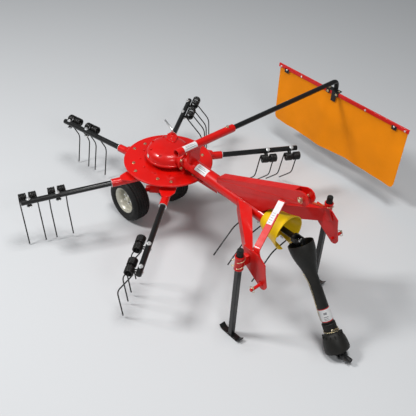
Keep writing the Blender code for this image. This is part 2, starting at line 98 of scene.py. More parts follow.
class RakeStudioSettings(bpy.types.PropertyGroup):
    camera_spot: bpy.props.FloatVectorProperty(
        name="Camera place", description="Where the camera stands, measured from the rotor's axis",
        default=(3.34, -2.818, 3.684), size=3, subtype="XYZ", unit="LENGTH")
    camera_turn: angle_setting("Camera heading", "Direction the camera looks in, seen from above", 135.56)
    camera_dip: angle_setting("Camera dip", "How far the camera looks down", 39.05)
    camera_roll: angle_setting("Camera roll", "How far the camera is rolled about its view", 3.94)
    camera_lens: bpy.props.FloatProperty(
        name="Lens", description="Focal length on a 36 mm sensor", default=60.47, subtype="DISTANCE_CAMERA")
    floor_colour: colour_setting("Floor colour", "Colour of the studio floor", (0.56, 0.57, 0.58))


class RakeFinishSettings(bpy.types.PropertyGroup):
    red: colour_setting("Red", "Colour of the red enamel", (0.6, 0.0035, 0.0015))
    black: colour_setting("Black", "Colour of the black enamel", (0.0045, 0.0045, 0.0045))
    yellow: colour_setting("Yellow", "Colour of the guard's plastic", (0.78, 0.52, 0.005))
    cloth: colour_setting("Cloth", "Colour of the curtain's cloth", (0.88, 0.262, 0.001))


# ---------------------------------------------------------------- bench tools

def clear_pick():
    """Leave edit mode if needed and deselect everything."""
    if bpy.context.object and bpy.context.object.mode != "OBJECT":
        bpy.ops.object.mode_set(mode="OBJECT")
    bpy.ops.object.select_all(action="DESELECT")


def pick(*things):
    clear_pick()
    for thing in things:
        thing.select_set(True)
    bpy.context.view_layer.objects.active = things[0]


def into_edit(thing, mode="FACE"):
    pick(thing)
    bpy.ops.object.mode_set(mode="EDIT")
    bpy.ops.mesh.select_mode(type=mode)


def edit_all(thing, operate, mode="FACE", **settings):
    """Run one edit-mode operator on the whole piece."""
    into_edit(thing, mode)
    bpy.ops.mesh.select_all(action="SELECT")
    operate(**settings)
    bpy.ops.object.mode_set(mode="OBJECT")


def newest(name):
    """The object that an operator has just made, under its name."""
    thing = bpy.context.object
    thing.name = name
    return thing


def choose_faces(thing, test):
    """Select the faces that pass the test on centre and normal, in edit mode."""
    bpy.ops.object.mode_set(mode="OBJECT")
    for edge in thing.data.edges:
        edge.select = False
    for vertex in thing.data.vertices:
        vertex.select = False
    for face in thing.data.polygons:
        face.select = test(face.center, face.normal)
    bpy.ops.object.mode_set(mode="EDIT")


def settle(thing, place=None):
    """Put a piece's place in its mesh, so that its object sits at the origin."""
    pick(thing)
    if place is not None:
        thing.matrix_world = place @ thing.matrix_world
    bpy.ops.object.transform_apply(location=True, rotation=True, scale=True)
    return thing


def smooth(thing, angle=35.0):
    pick(thing)
    bpy.ops.object.shade_smooth_by_angle(angle=math.radians(angle))
    return thing


def mend(thing, gap=0.00005):
    """Merge doubles and turn all faces outwards."""
    into_edit(thing, "VERT")
    bpy.ops.mesh.select_all(action="SELECT")
    bpy.ops.mesh.remove_doubles(threshold=gap)
    bpy.ops.mesh.normals_make_consistent(inside=False)
    bpy.ops.object.mode_set(mode="OBJECT")
    return thing


def apply_all(thing):
    pick(thing)
    for modifier in list(thing.modifiers):
        bpy.ops.object.modifier_apply(modifier=modifier.name)
    return thing


def thicken(thing, thickness, offset=0.0):
    """Give a sheet its thickness, to both sides or along its normals."""
    wall = thing.modifiers.new("wall", "SOLIDIFY")
    wall.thickness = thickness
    wall.offset = offset
    return apply_all(thing)


def soften(thing, width=0.0015, segments=2, angle=35.0):
    """Round the sharp edges a little and shade the rest smooth."""
    edges = thing.modifiers.new("soft_edges", "BEVEL")
    edges.width = width
    edges.segments = segments
    edges.limit_method = "ANGLE"
    edges.angle_limit = math.radians(angle)
    smooth(thing, 50.0)
    even = thing.modifiers.new("even_faces", "WEIGHTED_NORMAL")
    even.keep_sharp = True
    even.weight = 100
    return apply_all(thing)


def merge_into(name, things):
    pick(*things)
    if len(things) > 1:
        bpy.ops.object.join()
    whole = bpy.context.object
    whole.name = name
    whole.data.name = name
    return whole


def copy_to(thing, place):
    """A copy with its own mesh, moved by place."""
    twin = thing.copy()
    twin.data = thing.data.copy()
    twin.data.transform(place)
    bpy.context.scene.collection.objects.link(twin)
    return twin


def drop(*things):
    for thing in things:
        bpy.data.objects.remove(thing, do_unlink=True)


def moved(spot):
    return Matrix.Translation(spot)


def turned(degrees, axis):
    return Matrix.Rotation(math.radians(degrees), 4, axis)


def axes(x, y, z):
    """The turn whose local axes point along these three directions."""
    return Matrix((x, y, z)).transposed().to_4x4()


def aimed(spot, direction):
    """The place whose origin is the spot and whose local Z runs along the direction."""
    return moved(spot) @ direction.to_track_quat("Z", "Y").to_matrix().to_4x4()


def line_up(start, end):
    """The place whose local Z runs from start to end, with its origin at start."""
    return aimed(Vector(start), Vector(end) - Vector(start))


def round_bar(name, start, end, radius, sides=28, soft=0.001):
    """A solid bar with softened ends."""
    start, end = Vector(start), Vector(end)
    clear_pick()
    bpy.ops.mesh.primitive_cylinder_add(vertices=sides, radius=radius, depth=(end - start).length)
    thing = newest(name)
    settle(thing, aimed((start + end) / 2, end - start))
    return soften(thing, soft) if soft else smooth(thing)


def along_bar(name, spot, line, start, end, radius, sides, soft):
    """A bar on a line through a spot, between two distances along it."""
    return round_bar(name, spot + line * start, spot + line * end, radius, sides, soft)


def hollow_bar(name, start, end, radius, wall, depth=0.06, sides=32):
    """A tube whose two ends are open for some depth."""
    start, end = Vector(start), Vector(end)
    length = (end - start).length
    clear_pick()
    bpy.ops.mesh.primitive_cylinder_add(vertices=sides, radius=radius, depth=length)
    thing = newest(name)
    for side in (-1, 1):
        into_edit(thing)
        choose_faces(thing, lambda centre, normal: normal.z * side > 0.9)
        bpy.ops.mesh.inset(thickness=wall)
        bpy.ops.mesh.extrude_region_move(TRANSFORM_OT_translate={"value": (0, 0, -side * depth)})
        bpy.ops.object.mode_set(mode="OBJECT")
    settle(thing, aimed((start + end) / 2, end - start))
    return soften(thing, 0.0006, 1)


def soft_block(name, low, high, soft=0.002, place=None):
    """A block with rounded edges between two corners."""
    low, high = Vector(low), Vector(high)
    clear_pick()
    bpy.ops.mesh.primitive_cube_add(size=1.0, location=(low + high) / 2, scale=high - low)
    thing = newest(name)
    settle(thing, place)
    return soften(thing, soft)


def trace(name, spots, fill_type):
    """A closed outline through the spots."""
    clear_pick()
    bpy.ops.mesh.primitive_circle_add(vertices=len(spots), radius=1.0, fill_type=fill_type)
    thing = newest(name)
    for vertex, spot in zip(thing.data.vertices, spots):
        vertex.co = spot
    return thing


def flat_plate(name, outline, thickness, place=None, soft=0.001):
    """An outline in local XY, extruded up by thickness, with softened edges."""
    thing = trace(name, [(x, y, 0.0) for x, y in outline], "NGON")
    edit_all(thing, bpy.ops.mesh.extrude_region_move, TRANSFORM_OT_translate={"value": (0, 0, thickness)})
    mend(thing)
    settle(thing, place)
    return soften(thing, soft) if soft else thing


def lathe(name, outline, place=None, steps=48, soft=0.0, angle=40.0):
    """Spin a closed (radius, height) outline about local Z."""
    thing = trace(name, [(radius, 0.0, height) for radius, height in outline], "NOTHING")
    edit_all(thing, bpy.ops.mesh.spin, "VERT", steps=steps, angle=math.tau, center=(0, 0, 0),
             axis=(0, 0, 1), use_auto_merge=False)
    mend(thing, 0.00002)
    settle(thing, place)
    if soft:
        return soften(thing, soft)
    return smooth(thing, angle)


def draw_wire(name, points, radius, closed=False, sides=3):
    """A round wire through the points, turned into a mesh."""
    clear_pick()
    bpy.ops.curve.primitive_bezier_curve_add()
    thing = newest(name)
    thing.data.splines.clear()
    line = thing.data.splines.new("POLY")
    line.points.add(len(points) - 1)
    for knot, point in zip(line.points, points):
        knot.co = (*point, 1.0)
    line.use_cyclic_u = closed
    line.use_smooth = True
    thing.data.dimensions = "3D"
    thing.data.bevel_depth = radius
    thing.data.bevel_resolution = sides
    thing.data.use_fill_caps = not closed
    pick(thing)
    bpy.ops.object.convert(target="MESH")
    thing = bpy.context.object
    mend(thing, 0.00002)
    return smooth(thing, 60.0)


def bent(points, radius, steps=5):
    """The points with each inner corner replaced by an arc of about this radius."""
    points = [Vector(point) for point in points]
    route = [points[0]]
    for before, corner, after in zip(points, points[1:], points[2:]):
        first = (before - corner).normalized()
        second = (after - corner).normalized()
        reach = min(radius, (before - corner).length * 0.45, (after - corner).length * 0.45)
        start, end = corner + first * reach, corner + second * reach
        for step in range(steps + 1):
            t = step / steps
            route.append((1 - t) ** 2 * start + 2 * t * (1 - t) * corner + t ** 2 * end)
    return route + [points[-1]]


def ring(centre, radius, normal, count=24, start=0.0, sweep=math.tau):
    """Points round a circle."""
    turn = Vector(normal).to_track_quat("Z", "Y").to_matrix()
    stop = count if sweep >= math.tau else count + 1
    angles = [start + sweep * step / count for step in range(stop)]
    return [Vector(centre) + turn @ Vector((*polar(radius, angle), 0.0)) for angle in angles]


def finish_with(thing, *finishes):
    thing.data.materials.clear()
    for finish in finishes:
        thing.data.materials.append(FINISHES[finish])


def fit(thing, body, finish):
    """Give a piece its finish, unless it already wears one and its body."""
    if finish:
        finish_with(thing, finish)
    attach(thing, body)
    return thing


def hex_bolt(name, width=0.017, head=0.007, washer=0.012, shank=0.004, below=0.0):
    """A hexagon head on its washer, standing on local Z = 0, with a stub of thread below."""
    clear_pick()
    bpy.ops.mesh.primitive_cylinder_add(vertices=6, radius=width / math.sqrt(3), depth=head,
                                        location=(0, 0, 0.0016 + head / 2))
    top = soften(settle(bpy.context.object), 0.0012, 2)
    disc = round_bar("washer", (0, 0, 0.0001), (0, 0, 0.0018), washer, 20, 0.0003)
    parts = [top, disc]
    if below:
        parts.append(round_bar("thread", (0, 0, -below), (0, 0, 0.001), shank, 12, 0.0004))
    return merge_into(name, parts)


def body_of(node):
    for body, nodes in frame["record"]["behaviour"]["bodies"].items():
        if node in nodes:
            return body
    raise RuntimeError(f"no body holds {node}")


def refine(node, finish, soft=0.0015, segments=2, flat=True, angle=32.0):
    """A copy of a CAD node with merged faces, rounded edges and smooth shading, which stands for it."""
    source = bpy.data.objects[node]
    thing = source.copy()
    thing.data = source.data.copy()
    thing.name = node + "_finished"
    bpy.context.scene.collection.objects.link(thing)
    thing.hide_render = False
    mend(thing, 0.00003)
    if flat:
        edit_all(thing, bpy.ops.mesh.dissolve_limited, "VERT", angle_limit=math.radians(1.0))
    if soft:
        soften(thing, soft, segments, angle)
    else:
        smooth(thing, angle)
    fit(thing, body_of(node), finish)
    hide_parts(node)
    return thing


# ---------------------------------------------------------------- finishes

FINISHES = {}


def new_finish(name, colour, roughness, metallic=0.0, coat=0.0, coat_roughness=0.1):
    material = bpy.data.materials.new(name)
    material.use_nodes = True
    shader = material.node_tree.nodes["Principled BSDF"]
    shader.inputs["Base Color"].default_value = (*colour, 1.0)
    shader.inputs["Roughness"].default_value = roughness
    shader.inputs["Metallic"].default_value = metallic
    shader.inputs["Coat Weight"].default_value = coat
    shader.inputs["Coat Roughness"].default_value = coat_roughness
    shader.inputs["Specular IOR Level"].default_value = 0.5 if metallic else 0.28
    FINISHES[name] = material
    return material, shader


def grain(material, scale, detail):
    """A noise texture on the object's own coordinates."""
    tree = material.node_tree
    place = tree.nodes.new("ShaderNodeTexCoord")
    noise = tree.nodes.new("ShaderNodeTexNoise")
    noise.inputs["Scale"].default_value = scale
    noise.inputs["Detail"].default_value = detail
    tree.links.new(place.outputs["Object"], noise.inputs["Vector"])
    return noise.outputs["Fac"]


def spread(material, value, low, high, start=0.35, end=0.65):
    """Map a 0 to 1 value on to a range."""
    tree = material.node_tree
    span = tree.nodes.new("ShaderNodeMapRange")
    span.inputs["From Min"].default_value = start
    span.inputs["From Max"].default_value = end
    span.inputs["To Min"].default_value = low
    span.inputs["To Max"].default_value = high
    tree.links.new(value, span.inputs["Value"])
    return span.outputs["Result"]


def tint(material, shader, value, first, second, start=0.35, end=0.65):
    """Blend the base colour between two colours by a value."""
    tree = material.node_tree
    ramp = tree.nodes.new("ShaderNodeValToRGB")
    ramp.color_ramp.elements[0].position = start
    ramp.color_ramp.elements[1].position = end
    ramp.color_ramp.elements[0].color = (*first, 1.0)
    ramp.color_ramp.elements[1].color = (*second, 1.0)
    tree.links.new(value, ramp.inputs["Fac"])
    tree.links.new(ramp.outputs["Color"], shader.inputs["Base Color"])


def dimple(material, shader, value, strength, distance):
    tree = material.node_tree
    bump = tree.nodes.new("ShaderNodeBump")
    bump.inputs["Strength"].default_value = strength
    bump.inputs["Distance"].default_value = distance
    tree.links.new(value, bump.inputs["Height"])
    tree.links.new(bump.outputs["Normal"], shader.inputs["Normal"])


def speckled(name, first, second, roughness, metallic=0.0, coat=0.0, patch=9.0, fine=420.0, depth=0.00015,
             strength=0.25, coat_roughness=0.1, spread_rough=0.08):
    """A finish whose colour and gloss drift slowly and whose surface has a fine grain."""
    material, shader = new_finish(name, first, roughness, metallic, coat, coat_roughness)
    slow = grain(material, patch, 3.0)
    tint(material, shader, slow, first, second)
    uneven = grain(material, patch * 6.0, 2.0)
    rough = spread(material, uneven, roughness - spread_rough, roughness + spread_rough)
    material.node_tree.links.new(rough, shader.inputs["Roughness"])
    dimple(material, shader, grain(material, fine, 2.0), strength, depth)
    return material


def woven_cloth(name, light, dark):
    """Coated woven cloth: crossing threads on the piece's own UV map, with a soft sheen."""
    material, shader = new_finish(name, light, 0.62)
    tree = material.node_tree
    place = tree.nodes.new("ShaderNodeTexCoord")
    heights = []
    for turn in (0.0, math.pi / 2):
        aim = tree.nodes.new("ShaderNodeMapping")
        aim.inputs["Rotation"].default_value = (0.0, 0.0, turn)
        threads = tree.nodes.new("ShaderNodeTexWave")
        threads.inputs["Scale"].default_value = 95.0
        threads.inputs["Distortion"].default_value = 0.6
        threads.inputs["Detail"].default_value = 1.0
        tree.links.new(place.outputs["UV"], aim.inputs["Vector"])
        tree.links.new(aim.outputs["Vector"], threads.inputs["Vector"])
        heights.append(threads.outputs["Fac"])
    both = tree.nodes.new("ShaderNodeMath")
    both.operation = "MAXIMUM"
    tree.links.new(heights[0], both.inputs[0])
    tree.links.new(heights[1], both.inputs[1])
    dimple(material, shader, both.outputs["Value"], 0.5, 0.0006)
    tint(material, shader, grain(material, 3.0, 5.0), light, dark, 0.3, 0.75)
    shader.inputs["Sheen Weight"].default_value = 0.03
    shader.inputs["Specular IOR Level"].default_value = 0.12
    shader.inputs["Sheen Roughness"].default_value = 0.4
    return material


def mix_finishes():
    look = bpy.context.scene.rake_finishes
    red = tuple(look.red)
    speckled("red_enamel", red, tuple(0.86 * c for c in red), 0.36, coat=0.32, patch=4.0, fine=180.0,
             depth=0.0003, strength=0.1, coat_roughness=0.06)
    speckled("black_enamel", tuple(look.black), tuple(1.6 * c for c in look.black), 0.38, coat=0.3,
             patch=7.0, fine=260.0, depth=0.0002, strength=0.12, coat_roughness=0.1)
    speckled("spring_wire", (0.0035, 0.0035, 0.0035), (0.008, 0.007, 0.006), 0.42, 0.0, 0.2, 30.0, 600.0)
    speckled("black_plastic", (0.0085, 0.008, 0.007), (0.014, 0.013, 0.011), 0.5, patch=12.0, fine=500.0,
             depth=0.0003, strength=0.35)
    speckled("yellow_plastic", tuple(look.yellow), tuple(0.86 * c for c in look.yellow), 0.4, coat=0.2,
             patch=6.0, fine=500.0, depth=0.0002, strength=0.25)
    speckled("rim_paint", (0.6, 0.58, 0.49), (0.52, 0.5, 0.42), 0.36, 0.35, 0.3, 14.0, 500.0)
    speckled("tyre_rubber", (0.0075, 0.0075, 0.007), (0.014, 0.0135, 0.013), 0.66, patch=10.0, fine=520.0,
             depth=0.0006, strength=0.4)
    speckled("yellow_zinc", (0.72, 0.6, 0.34), (0.6, 0.52, 0.4), 0.3, 0.95, 0.0, 60.0, 900.0)
    speckled("bright_zinc", (0.9, 0.9, 0.88), (0.76, 0.77, 0.78), 0.34, 0.85, 0.0, 50.0, 900.0)
    speckled("socket_steel", (0.78, 0.78, 0.76), (0.6, 0.6, 0.6), 0.32, 0.7, 0.0, 80.0, 900.0)
    speckled("label_white", (0.66, 0.66, 0.65), (0.6, 0.6, 0.6), 0.4, coat=0.2, patch=20.0, fine=500.0)
    speckled("label_grey", (0.22, 0.22, 0.23), (0.3, 0.3, 0.31), 0.4, coat=0.3, patch=20.0, fine=500.0)
    speckled("label_red", (0.55, 0.02, 0.02), (0.48, 0.02, 0.02), 0.35, coat=0.3, patch=20.0, fine=500.0)
    # painted shade: near-black for the thin discs that stand for the rim's see-through holes, where the
    # dark inside of the wheel shows
    speckled("painted_hole_shade", (0.004, 0.004, 0.004), (0.006, 0.006, 0.006), 0.8)
    woven_cloth("curtain_weave", tuple(look.cloth), tuple(0.82 * c for c in look.cloth))


# ---------------------------------------------------------------- tine arms

ARM_LINES = {joint["child"]: joint for joint in frame["record"]["behaviour"]["joints"]
             if joint["child"].startswith("tine_arm_body")}
ARMS = range(1, 7)
LEAST_ARM_TURN = -70.0
SOCKET_REACH = 0.46
TUBE_FROM, TUBE_TO = 0.305 - SOCKET_REACH, 1.13 - SOCKET_REACH
STATIONS = (0.862 - SOCKET_REACH, 1.074 - SOCKET_REACH)


def arm_frame(number):
    """Local X out along the arm, Y towards the side that leads, Z up, from the socket's mouth."""
    joint = ARM_LINES[f"tine_arm_body_{number}"]
    out = Vector(joint["axis"]).normalized()
    up = (Vector((0, 0, 1)) - out * out.z).normalized()
    return moved(joint["pos_m"]) @ axes(out, up.cross(out), up)


def arm_turn(number):
    joint = ARM_LINES[f"tine_arm_body_{number}"]
    return turned(LEAST_ARM_TURN - joint["range_deg"][0], "X")


def double_tine():
    """One spring tine: a bridge under the tube, a coil on each side and two bent legs."""
    coil_back, coil_radius, wire = -0.067, 0.0295, 0.005
    turns, first, pitch = 4.75, 0.0098, 0.011
    half = []
    steps = 76
    for step in range(steps + 1):
        angle = -math.pi / 2 - math.tau * turns * step / steps
        half.append(Vector((first + pitch * turns * step / steps, coil_back + coil_radius * math.cos(angle),
                            coil_radius * math.sin(angle))))
    x = half[-1].x
    half += bent([(x, -0.0375, -0.004), (x + 0.001, -0.054, -0.034), (x + 0.002, -0.148, -0.199),
                  (x + 0.002, -0.1135, -0.4455)], 0.04, 7)
    bridge = [Vector(spot) for spot in ((0.0, 0.006, -0.0292), (0.005, 0.0035, -0.0292),
                                        (0.0086, -0.004, -0.0292), (0.0095, -0.03, -0.0293))]
    side = bridge + half
    other = [Vector((-point.x, point.y, point.z)) for point in reversed(side[1:])]
    return draw_wire("double_tine", other + side, wire)


def tine_bolt():
    """Bolt through the tube, with a washer above and a clamp washer and nut below."""
    head = hex_bolt("tine_bolt", 0.02, 0.011, 0.017)
    head = settle(head, moved((0, 0, 0.0225)))
    shank = round_bar("shank", (0, 0, -0.05), (0, 0, 0.023), 0.005, 14, 0.0008)
    clamp = round_bar("clamp", (0, 0, -0.041), (0, 0, -0.0344), 0.02, 28, 0.0012)
    nut = settle(hex_bolt("nut", 0.0165, 0.0078, 0.0125), moved((0, 0, -0.0412)) @
                 turned(180.0, "X"))
    whole = merge_into("tine_bolt", [head, shank, clamp, nut])
    return settle(whole, turned(-2.0, "X"))


class RAKE_OT_tine_arms(bpy.types.Operator):
    """Make the six arm tubes with their end plugs, spring tines and bolts"""
    bl_idname = "rake.tine_arms"
    bl_label = "Tine arms"

    def execute(self, context):
        tube = hollow_bar("arm_tube", (TUBE_FROM, 0, 0), (TUBE_TO, 0, 0), 0.021, 0.0028, 0.004)
        outline = [(0.0, 0.0), (0.0178, 0.0), (0.0205, 0.001), (0.0205, 0.003), (0.016, 0.0052),
                   (0.0, 0.0058)]
        plug = lathe("arm_plug", outline, moved((TUBE_TO - 0.0055, 0, 0)) @ turned(90.0, "Y"), 28)
        tine = double_tine()
        bolt = tine_bolt()
        for number in ARMS:
            place = arm_frame(number) @ arm_turn(number)
            body = f"tine_arm_body_{number}"
            shaft = copy_to(tube, place)
            shaft.name = f"arm_tube_{number}"
            fit(shaft, body, "black_enamel")
            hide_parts(f"tine_arm_{number}")
            end = copy_to(plug, place)
            end.name = f"arm_plug_{number}"
            fit(end, body, "black_plastic")
            pair = [copy_to(tine, place @ moved((spot, 0, 0))) for spot in STATIONS]
            fit(merge_into(f"spring_tines_{number}", pair), body, "spring_wire")
            pair = [copy_to(bolt, place @ moved((spot, 0, 0))) for spot in STATIONS]
            fit(merge_into(f"tine_bolts_{number}", pair), body, "bright_zinc")
        drop(tube, plug, tine, bolt)
        return {"FINISHED"}


# ---------------------------------------------------------------- rotor

DISC_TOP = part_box("rotor_disc")[1][2]
DISC_RADIUS = (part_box("rotor_disc")[1][0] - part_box("rotor_disc")[0][0]) / 2


def lay_bolts(name, template, spots, body, finish):
    """Copies of a bolt at several places, as one piece."""
    things = [copy_to(template, spot) for spot in spots]
    return fit(merge_into(name, things), body, finish)


class RAKE_OT_rotor(bpy.types.Operator):
    """Make the dished rotor disc with its rolled rim, and dress the arm sockets"""
    bl_idname = "rake.rotor"
    bl_label = "Rotor"

    def execute(self, context):
        top, rim = DISC_TOP, DISC_RADIUS
        outline = [(0.088, -0.0008), (0.235, -0.0008), (0.262, -0.0035), (rim - 0.022, -0.005),
                   (rim - 0.012, -0.003), (rim - 0.005, -0.0042), (rim, -0.0095), (rim, -0.0185),
                   (rim - 0.004, -0.0195), (rim - 0.0055, -0.015), (rim - 0.01, -0.009),
                   (rim - 0.024, -0.0095), (0.262, -0.0085), (0.235, -0.0058), (0.088, -0.0058)]
        disc = lathe("rotor_dish", outline, moved(at(0, 0, top)), 96, 0.0008)
        fit(disc, "rotor", "red_enamel")
        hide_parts("rotor_disc")
        refine("rotor_hub", "red_enamel", 0.002)
        bolt = hex_bolt("disc_bolt", 0.016, 0.0075, 0.0125)
        small = hex_bolt("hub_bolt", 0.011, 0.005, 0.009)
        spots, inner = [], []
        for number in ARMS:
            refine(f"arm_socket_{number}", "red_enamel", 0.0016)
            place = arm_frame(number)
            heading = math.atan2(place.col[0].y, place.col[0].x)
            for turn, reach in ((-4.0, 0.268), (17.0, 0.292)):
                angle = heading + math.radians(turn)
                spots.append(moved(at(*polar(reach, angle), top - 0.0034)) @
                             Matrix.Rotation(angle * 3.0, 4, "Z"))
            for turn in (-15.0, 15.0):
                angle = heading + math.radians(turn)
                inner.append(moved(at(*polar(0.215, angle), top - 0.0008)) @
                             Matrix.Rotation(angle * 2.0, 4, "Z"))
            lip = [(0.0225, 0.0), (0.0305, 0.0), (0.0312, 0.0012), (0.0308, 0.0034), (0.0225, 0.0034)]
            mouth = place @ turned(90.0, "Y") @ moved((0, 0, 0.0004))
            collar = lathe(f"socket_lip_{number}", lip, mouth, 40)
            fit(collar, "rotor", "socket_steel")
        lay_bolts("disc_bolts", bolt, spots, "rotor", "yellow_zinc")
        lay_bolts("disc_inner_bolts", small, inner, "rotor", "red_enamel")
        drop(bolt, small)
        return {"FINISHED"}


# ---------------------------------------------------------------- gearbox and beam

GEARBOX_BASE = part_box("gearbox")[0][2]
BEAM_LOW, BEAM_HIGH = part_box("main_beam")


def tube_label(name, start, end, radius, facing, half_angle):
    """A thin curved label on a tube, centred on a facing direction, with grey bars for its print."""
    start, end = Vector(start), Vector(end)
    along = (end - start).normalized()
    out = (Vector(facing) - along * Vector(facing).dot(along)).normalized()
    side = along.cross(out)
    length = (end - start).length
    clear_pick()
    bpy.ops.mesh.primitive_grid_add(x_subdivisions=14, y_subdivisions=12, size=1.0)
    thing = newest(name)
    for vertex in thing.data.vertices:
        angle = 2.0 * vertex.co.y * half_angle
        vertex.co = (start + along * (vertex.co.x + 0.5) * length
                     + (out * math.cos(angle) + side * math.sin(angle)) * (radius + 0.0002))
    finish_with(thing, "label_white", "label_grey")
    for face in thing.data.polygons:
        row, column = divmod(face.index, 14)
        if row in (3, 5, 8) and 2 <= column <= 9 + row % 3:
            face.material_index = 1
    edit_all(thing, bpy.ops.mesh.normals_make_consistent, inside=False)
    mid = thing.data.polygons[len(thing.data.polygons) // 2]
    if mid.normal.dot(out) < 0:
        thing.data.flip_normals()
    return smooth(thicken(thing, LABEL_FILM, 1.0), 60.0)


class RAKE_OT_gearbox(bpy.types.Operator):
    """Make the gearbox cover with its bolts, crank bracket and crank"""
    bl_idname = "rake.gearbox"
    bl_label = "Gearbox"

    def execute(self, context):
        red = "red_enamel"
        base = GEARBOX_BASE
        outline = [(0.0, 0.095), (0.03, 0.0945), (0.085, 0.091), (0.125, 0.082), (0.15, 0.066),
                   (0.1635, 0.042), (0.1665, 0.021), (0.168, 0.0165), (0.1745, 0.0155), (0.175, 0.0145),
                   (0.175, 0.0005), (0.0, 0.0005)]
        cover = lathe("gearbox_cover", outline, moved(at(0, 0, base)), 96, 0.0, 55.0)
        low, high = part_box("height_crank")
        post = Vector((high[0] - 0.008, low[1] + 0.008, 0.0))
        outline = [(0.0, 0.02), (0.03, 0.02), (0.03, 0.098), (0.027, 0.102), (0.016, 0.104),
                   (0.014, 0.1115), (0.0, 0.1115)]
        tower = lathe("crank_tower", outline, moved(post + Vector((0, 0, base))), 40)
        outline = [(-0.03, -0.02), (0.02, -0.075), (0.095, -0.06), (0.085, -0.035), (0.04, 0.02),
                   (-0.012, 0.03)]
        bridge = flat_plate("crank_bridge", outline, 0.012, moved(post + Vector((0, 0, base + 0.088))))
        outline = [(0.0, 0.0), (0.115, 0.0), (0.115, 0.03), (0.03, 0.052), (0.0, 0.052)]
        rib = flat_plate("crank_rib", outline, 0.007, moved(post + Vector((0.012, -0.01, base + 0.05))) @
                         turned(-48.0, "Z") @ turned(90.0, "X"))
        whole = merge_into("gearbox_cover", [cover, tower, bridge, rib])
        fit(whole, "frame", red)
        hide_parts("gearbox")
        refine("height_crank", "bright_zinc", 0.0, flat=False, angle=60.0)
        bolt = hex_bolt("cover_bolt", 0.0145, 0.007, 0.0115)
        spots = []
        for step in range(8):
            angle = math.radians(22.5 + 45.0 * step)
            if abs(math.sin(angle / 2)) > 0.3:
                spots.append(moved(at(*polar(0.135, angle), base + 0.0765)) @
                             Matrix.Rotation(angle, 4, "Z") @ turned(28.0, "Y"))
        lay_bolts("cover_bolts", bolt, spots, "frame", red)
        drop(bolt)
        tag = soft_block("cover_label", (-0.011, -0.014, 0.0), (0.011, 0.014, 0.0006), 0.0002)
        settle(tag, moved(at(-0.0465, -0.16, base + 0.0345)) @
               turned(-106, "Z") @ turned(80.0, "Y"))
        fit(tag, "frame", "label_white")
        return {"FINISHED"}


class RAKE_OT_beam(bpy.types.Operator):
    """Make the main beam, its flange joint and its blank labels"""
    bl_idname = "rake.beam"
    bl_label = "Beam"

    def execute(self, context):
        red = "red_enamel"
        axis_y, axis_z = (BEAM_LOW[1] + BEAM_HIGH[1]) / 2, (BEAM_LOW[2] + BEAM_HIGH[2]) / 2
        start, end = Vector((BEAM_LOW[0], axis_y, axis_z)), Vector((BEAM_HIGH[0], axis_y, axis_z))
        tube = round_bar("beam_tube", start, end, 0.052, 64, 0.002)
        flange = along_bar("beam_flange", start, Vector((1, 0, 0)), 0.0002, 0.014, 0.08, 64, 0.002)
        outline = [(0.05, 0.0), (0.0615, 0.0), (0.058, 0.0045), (0.053, 0.009), (0.05, 0.009)]
        bead = lathe("beam_weld", outline, line_up(start + Vector((0.0138, 0, 0)), end), 64)
        whole = merge_into("beam_finished", [tube, flange, bead])
        fit(whole, "frame", red)
        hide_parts("main_beam")
        refine("beam_neck", red, 0.0018)
        bolt = hex_bolt("flange_bolt", 0.019, 0.0085, 0.014)
        spots = []
        for step in range(6):
            angle = math.radians(30.0 + 60.0 * step)
            spot = start + Vector((0.0143, *polar(0.068, angle)))
            spots.append(line_up(spot, spot + Vector((1, 0, 0))))
        lay_bolts("flange_bolts", bolt, spots, "frame", "yellow_zinc")
        drop(bolt)
        refine("input_shaft", "black_enamel", 0.0012)
        first = start + Vector((0.145, 0, 0))
        label = tube_label("beam_label", first, first + Vector((0.115, 0, 0)), 0.052, (0.0, -0.5, 0.87),
                           math.radians(34.0))
        fit(label, "frame", None)
        return {"FINISHED"}


# ---------------------------------------------------------------- headstock

LINES = {joint["name"]: joint for joint in frame["record"]["behaviour"]["joints"]}
LINK_SPOT = middle_of("top_link_pin")


def flat_strip(name, path, width, thickness, soft=0.0015):
    """A flat bar that follows (centre, direction across) pairs."""
    clear_pick()
    bpy.ops.mesh.primitive_grid_add(x_subdivisions=len(path) - 1, y_subdivisions=1, size=1.0)
    thing = newest(name)
    count = len(path)
    for vertex in thing.data.vertices:
        row, column = divmod(vertex.index, count)
        centre, across = path[column]
        vertex.co = Vector(centre) + Vector(across).normalized() * width * (row - 0.5)
    mend(thicken(thing, thickness))
    return soften(thing, soft) if soft else smooth(thing)


def linch_pin(name, spot, peg_line, ring_normal, body, reach=0.018, loop=0.0205):
    """A plated peg with its head and the round spring wire hooked over it."""
    spot, peg_line = Vector(spot), Vector(peg_line).normalized()
    peg = along_bar("peg", spot, peg_line, -reach, reach, 0.0042, 14, 0.0008)
    head = along_bar("head", spot, peg_line, reach - 0.003, reach + 0.006, 0.0068, 18, 0.0012)
    wire = draw_wire("loop", ring(spot, loop, ring_normal, 30), 0.0022, True)
    return fit(merge_into(name, [peg, head, wire]), body, "yellow_zinc")


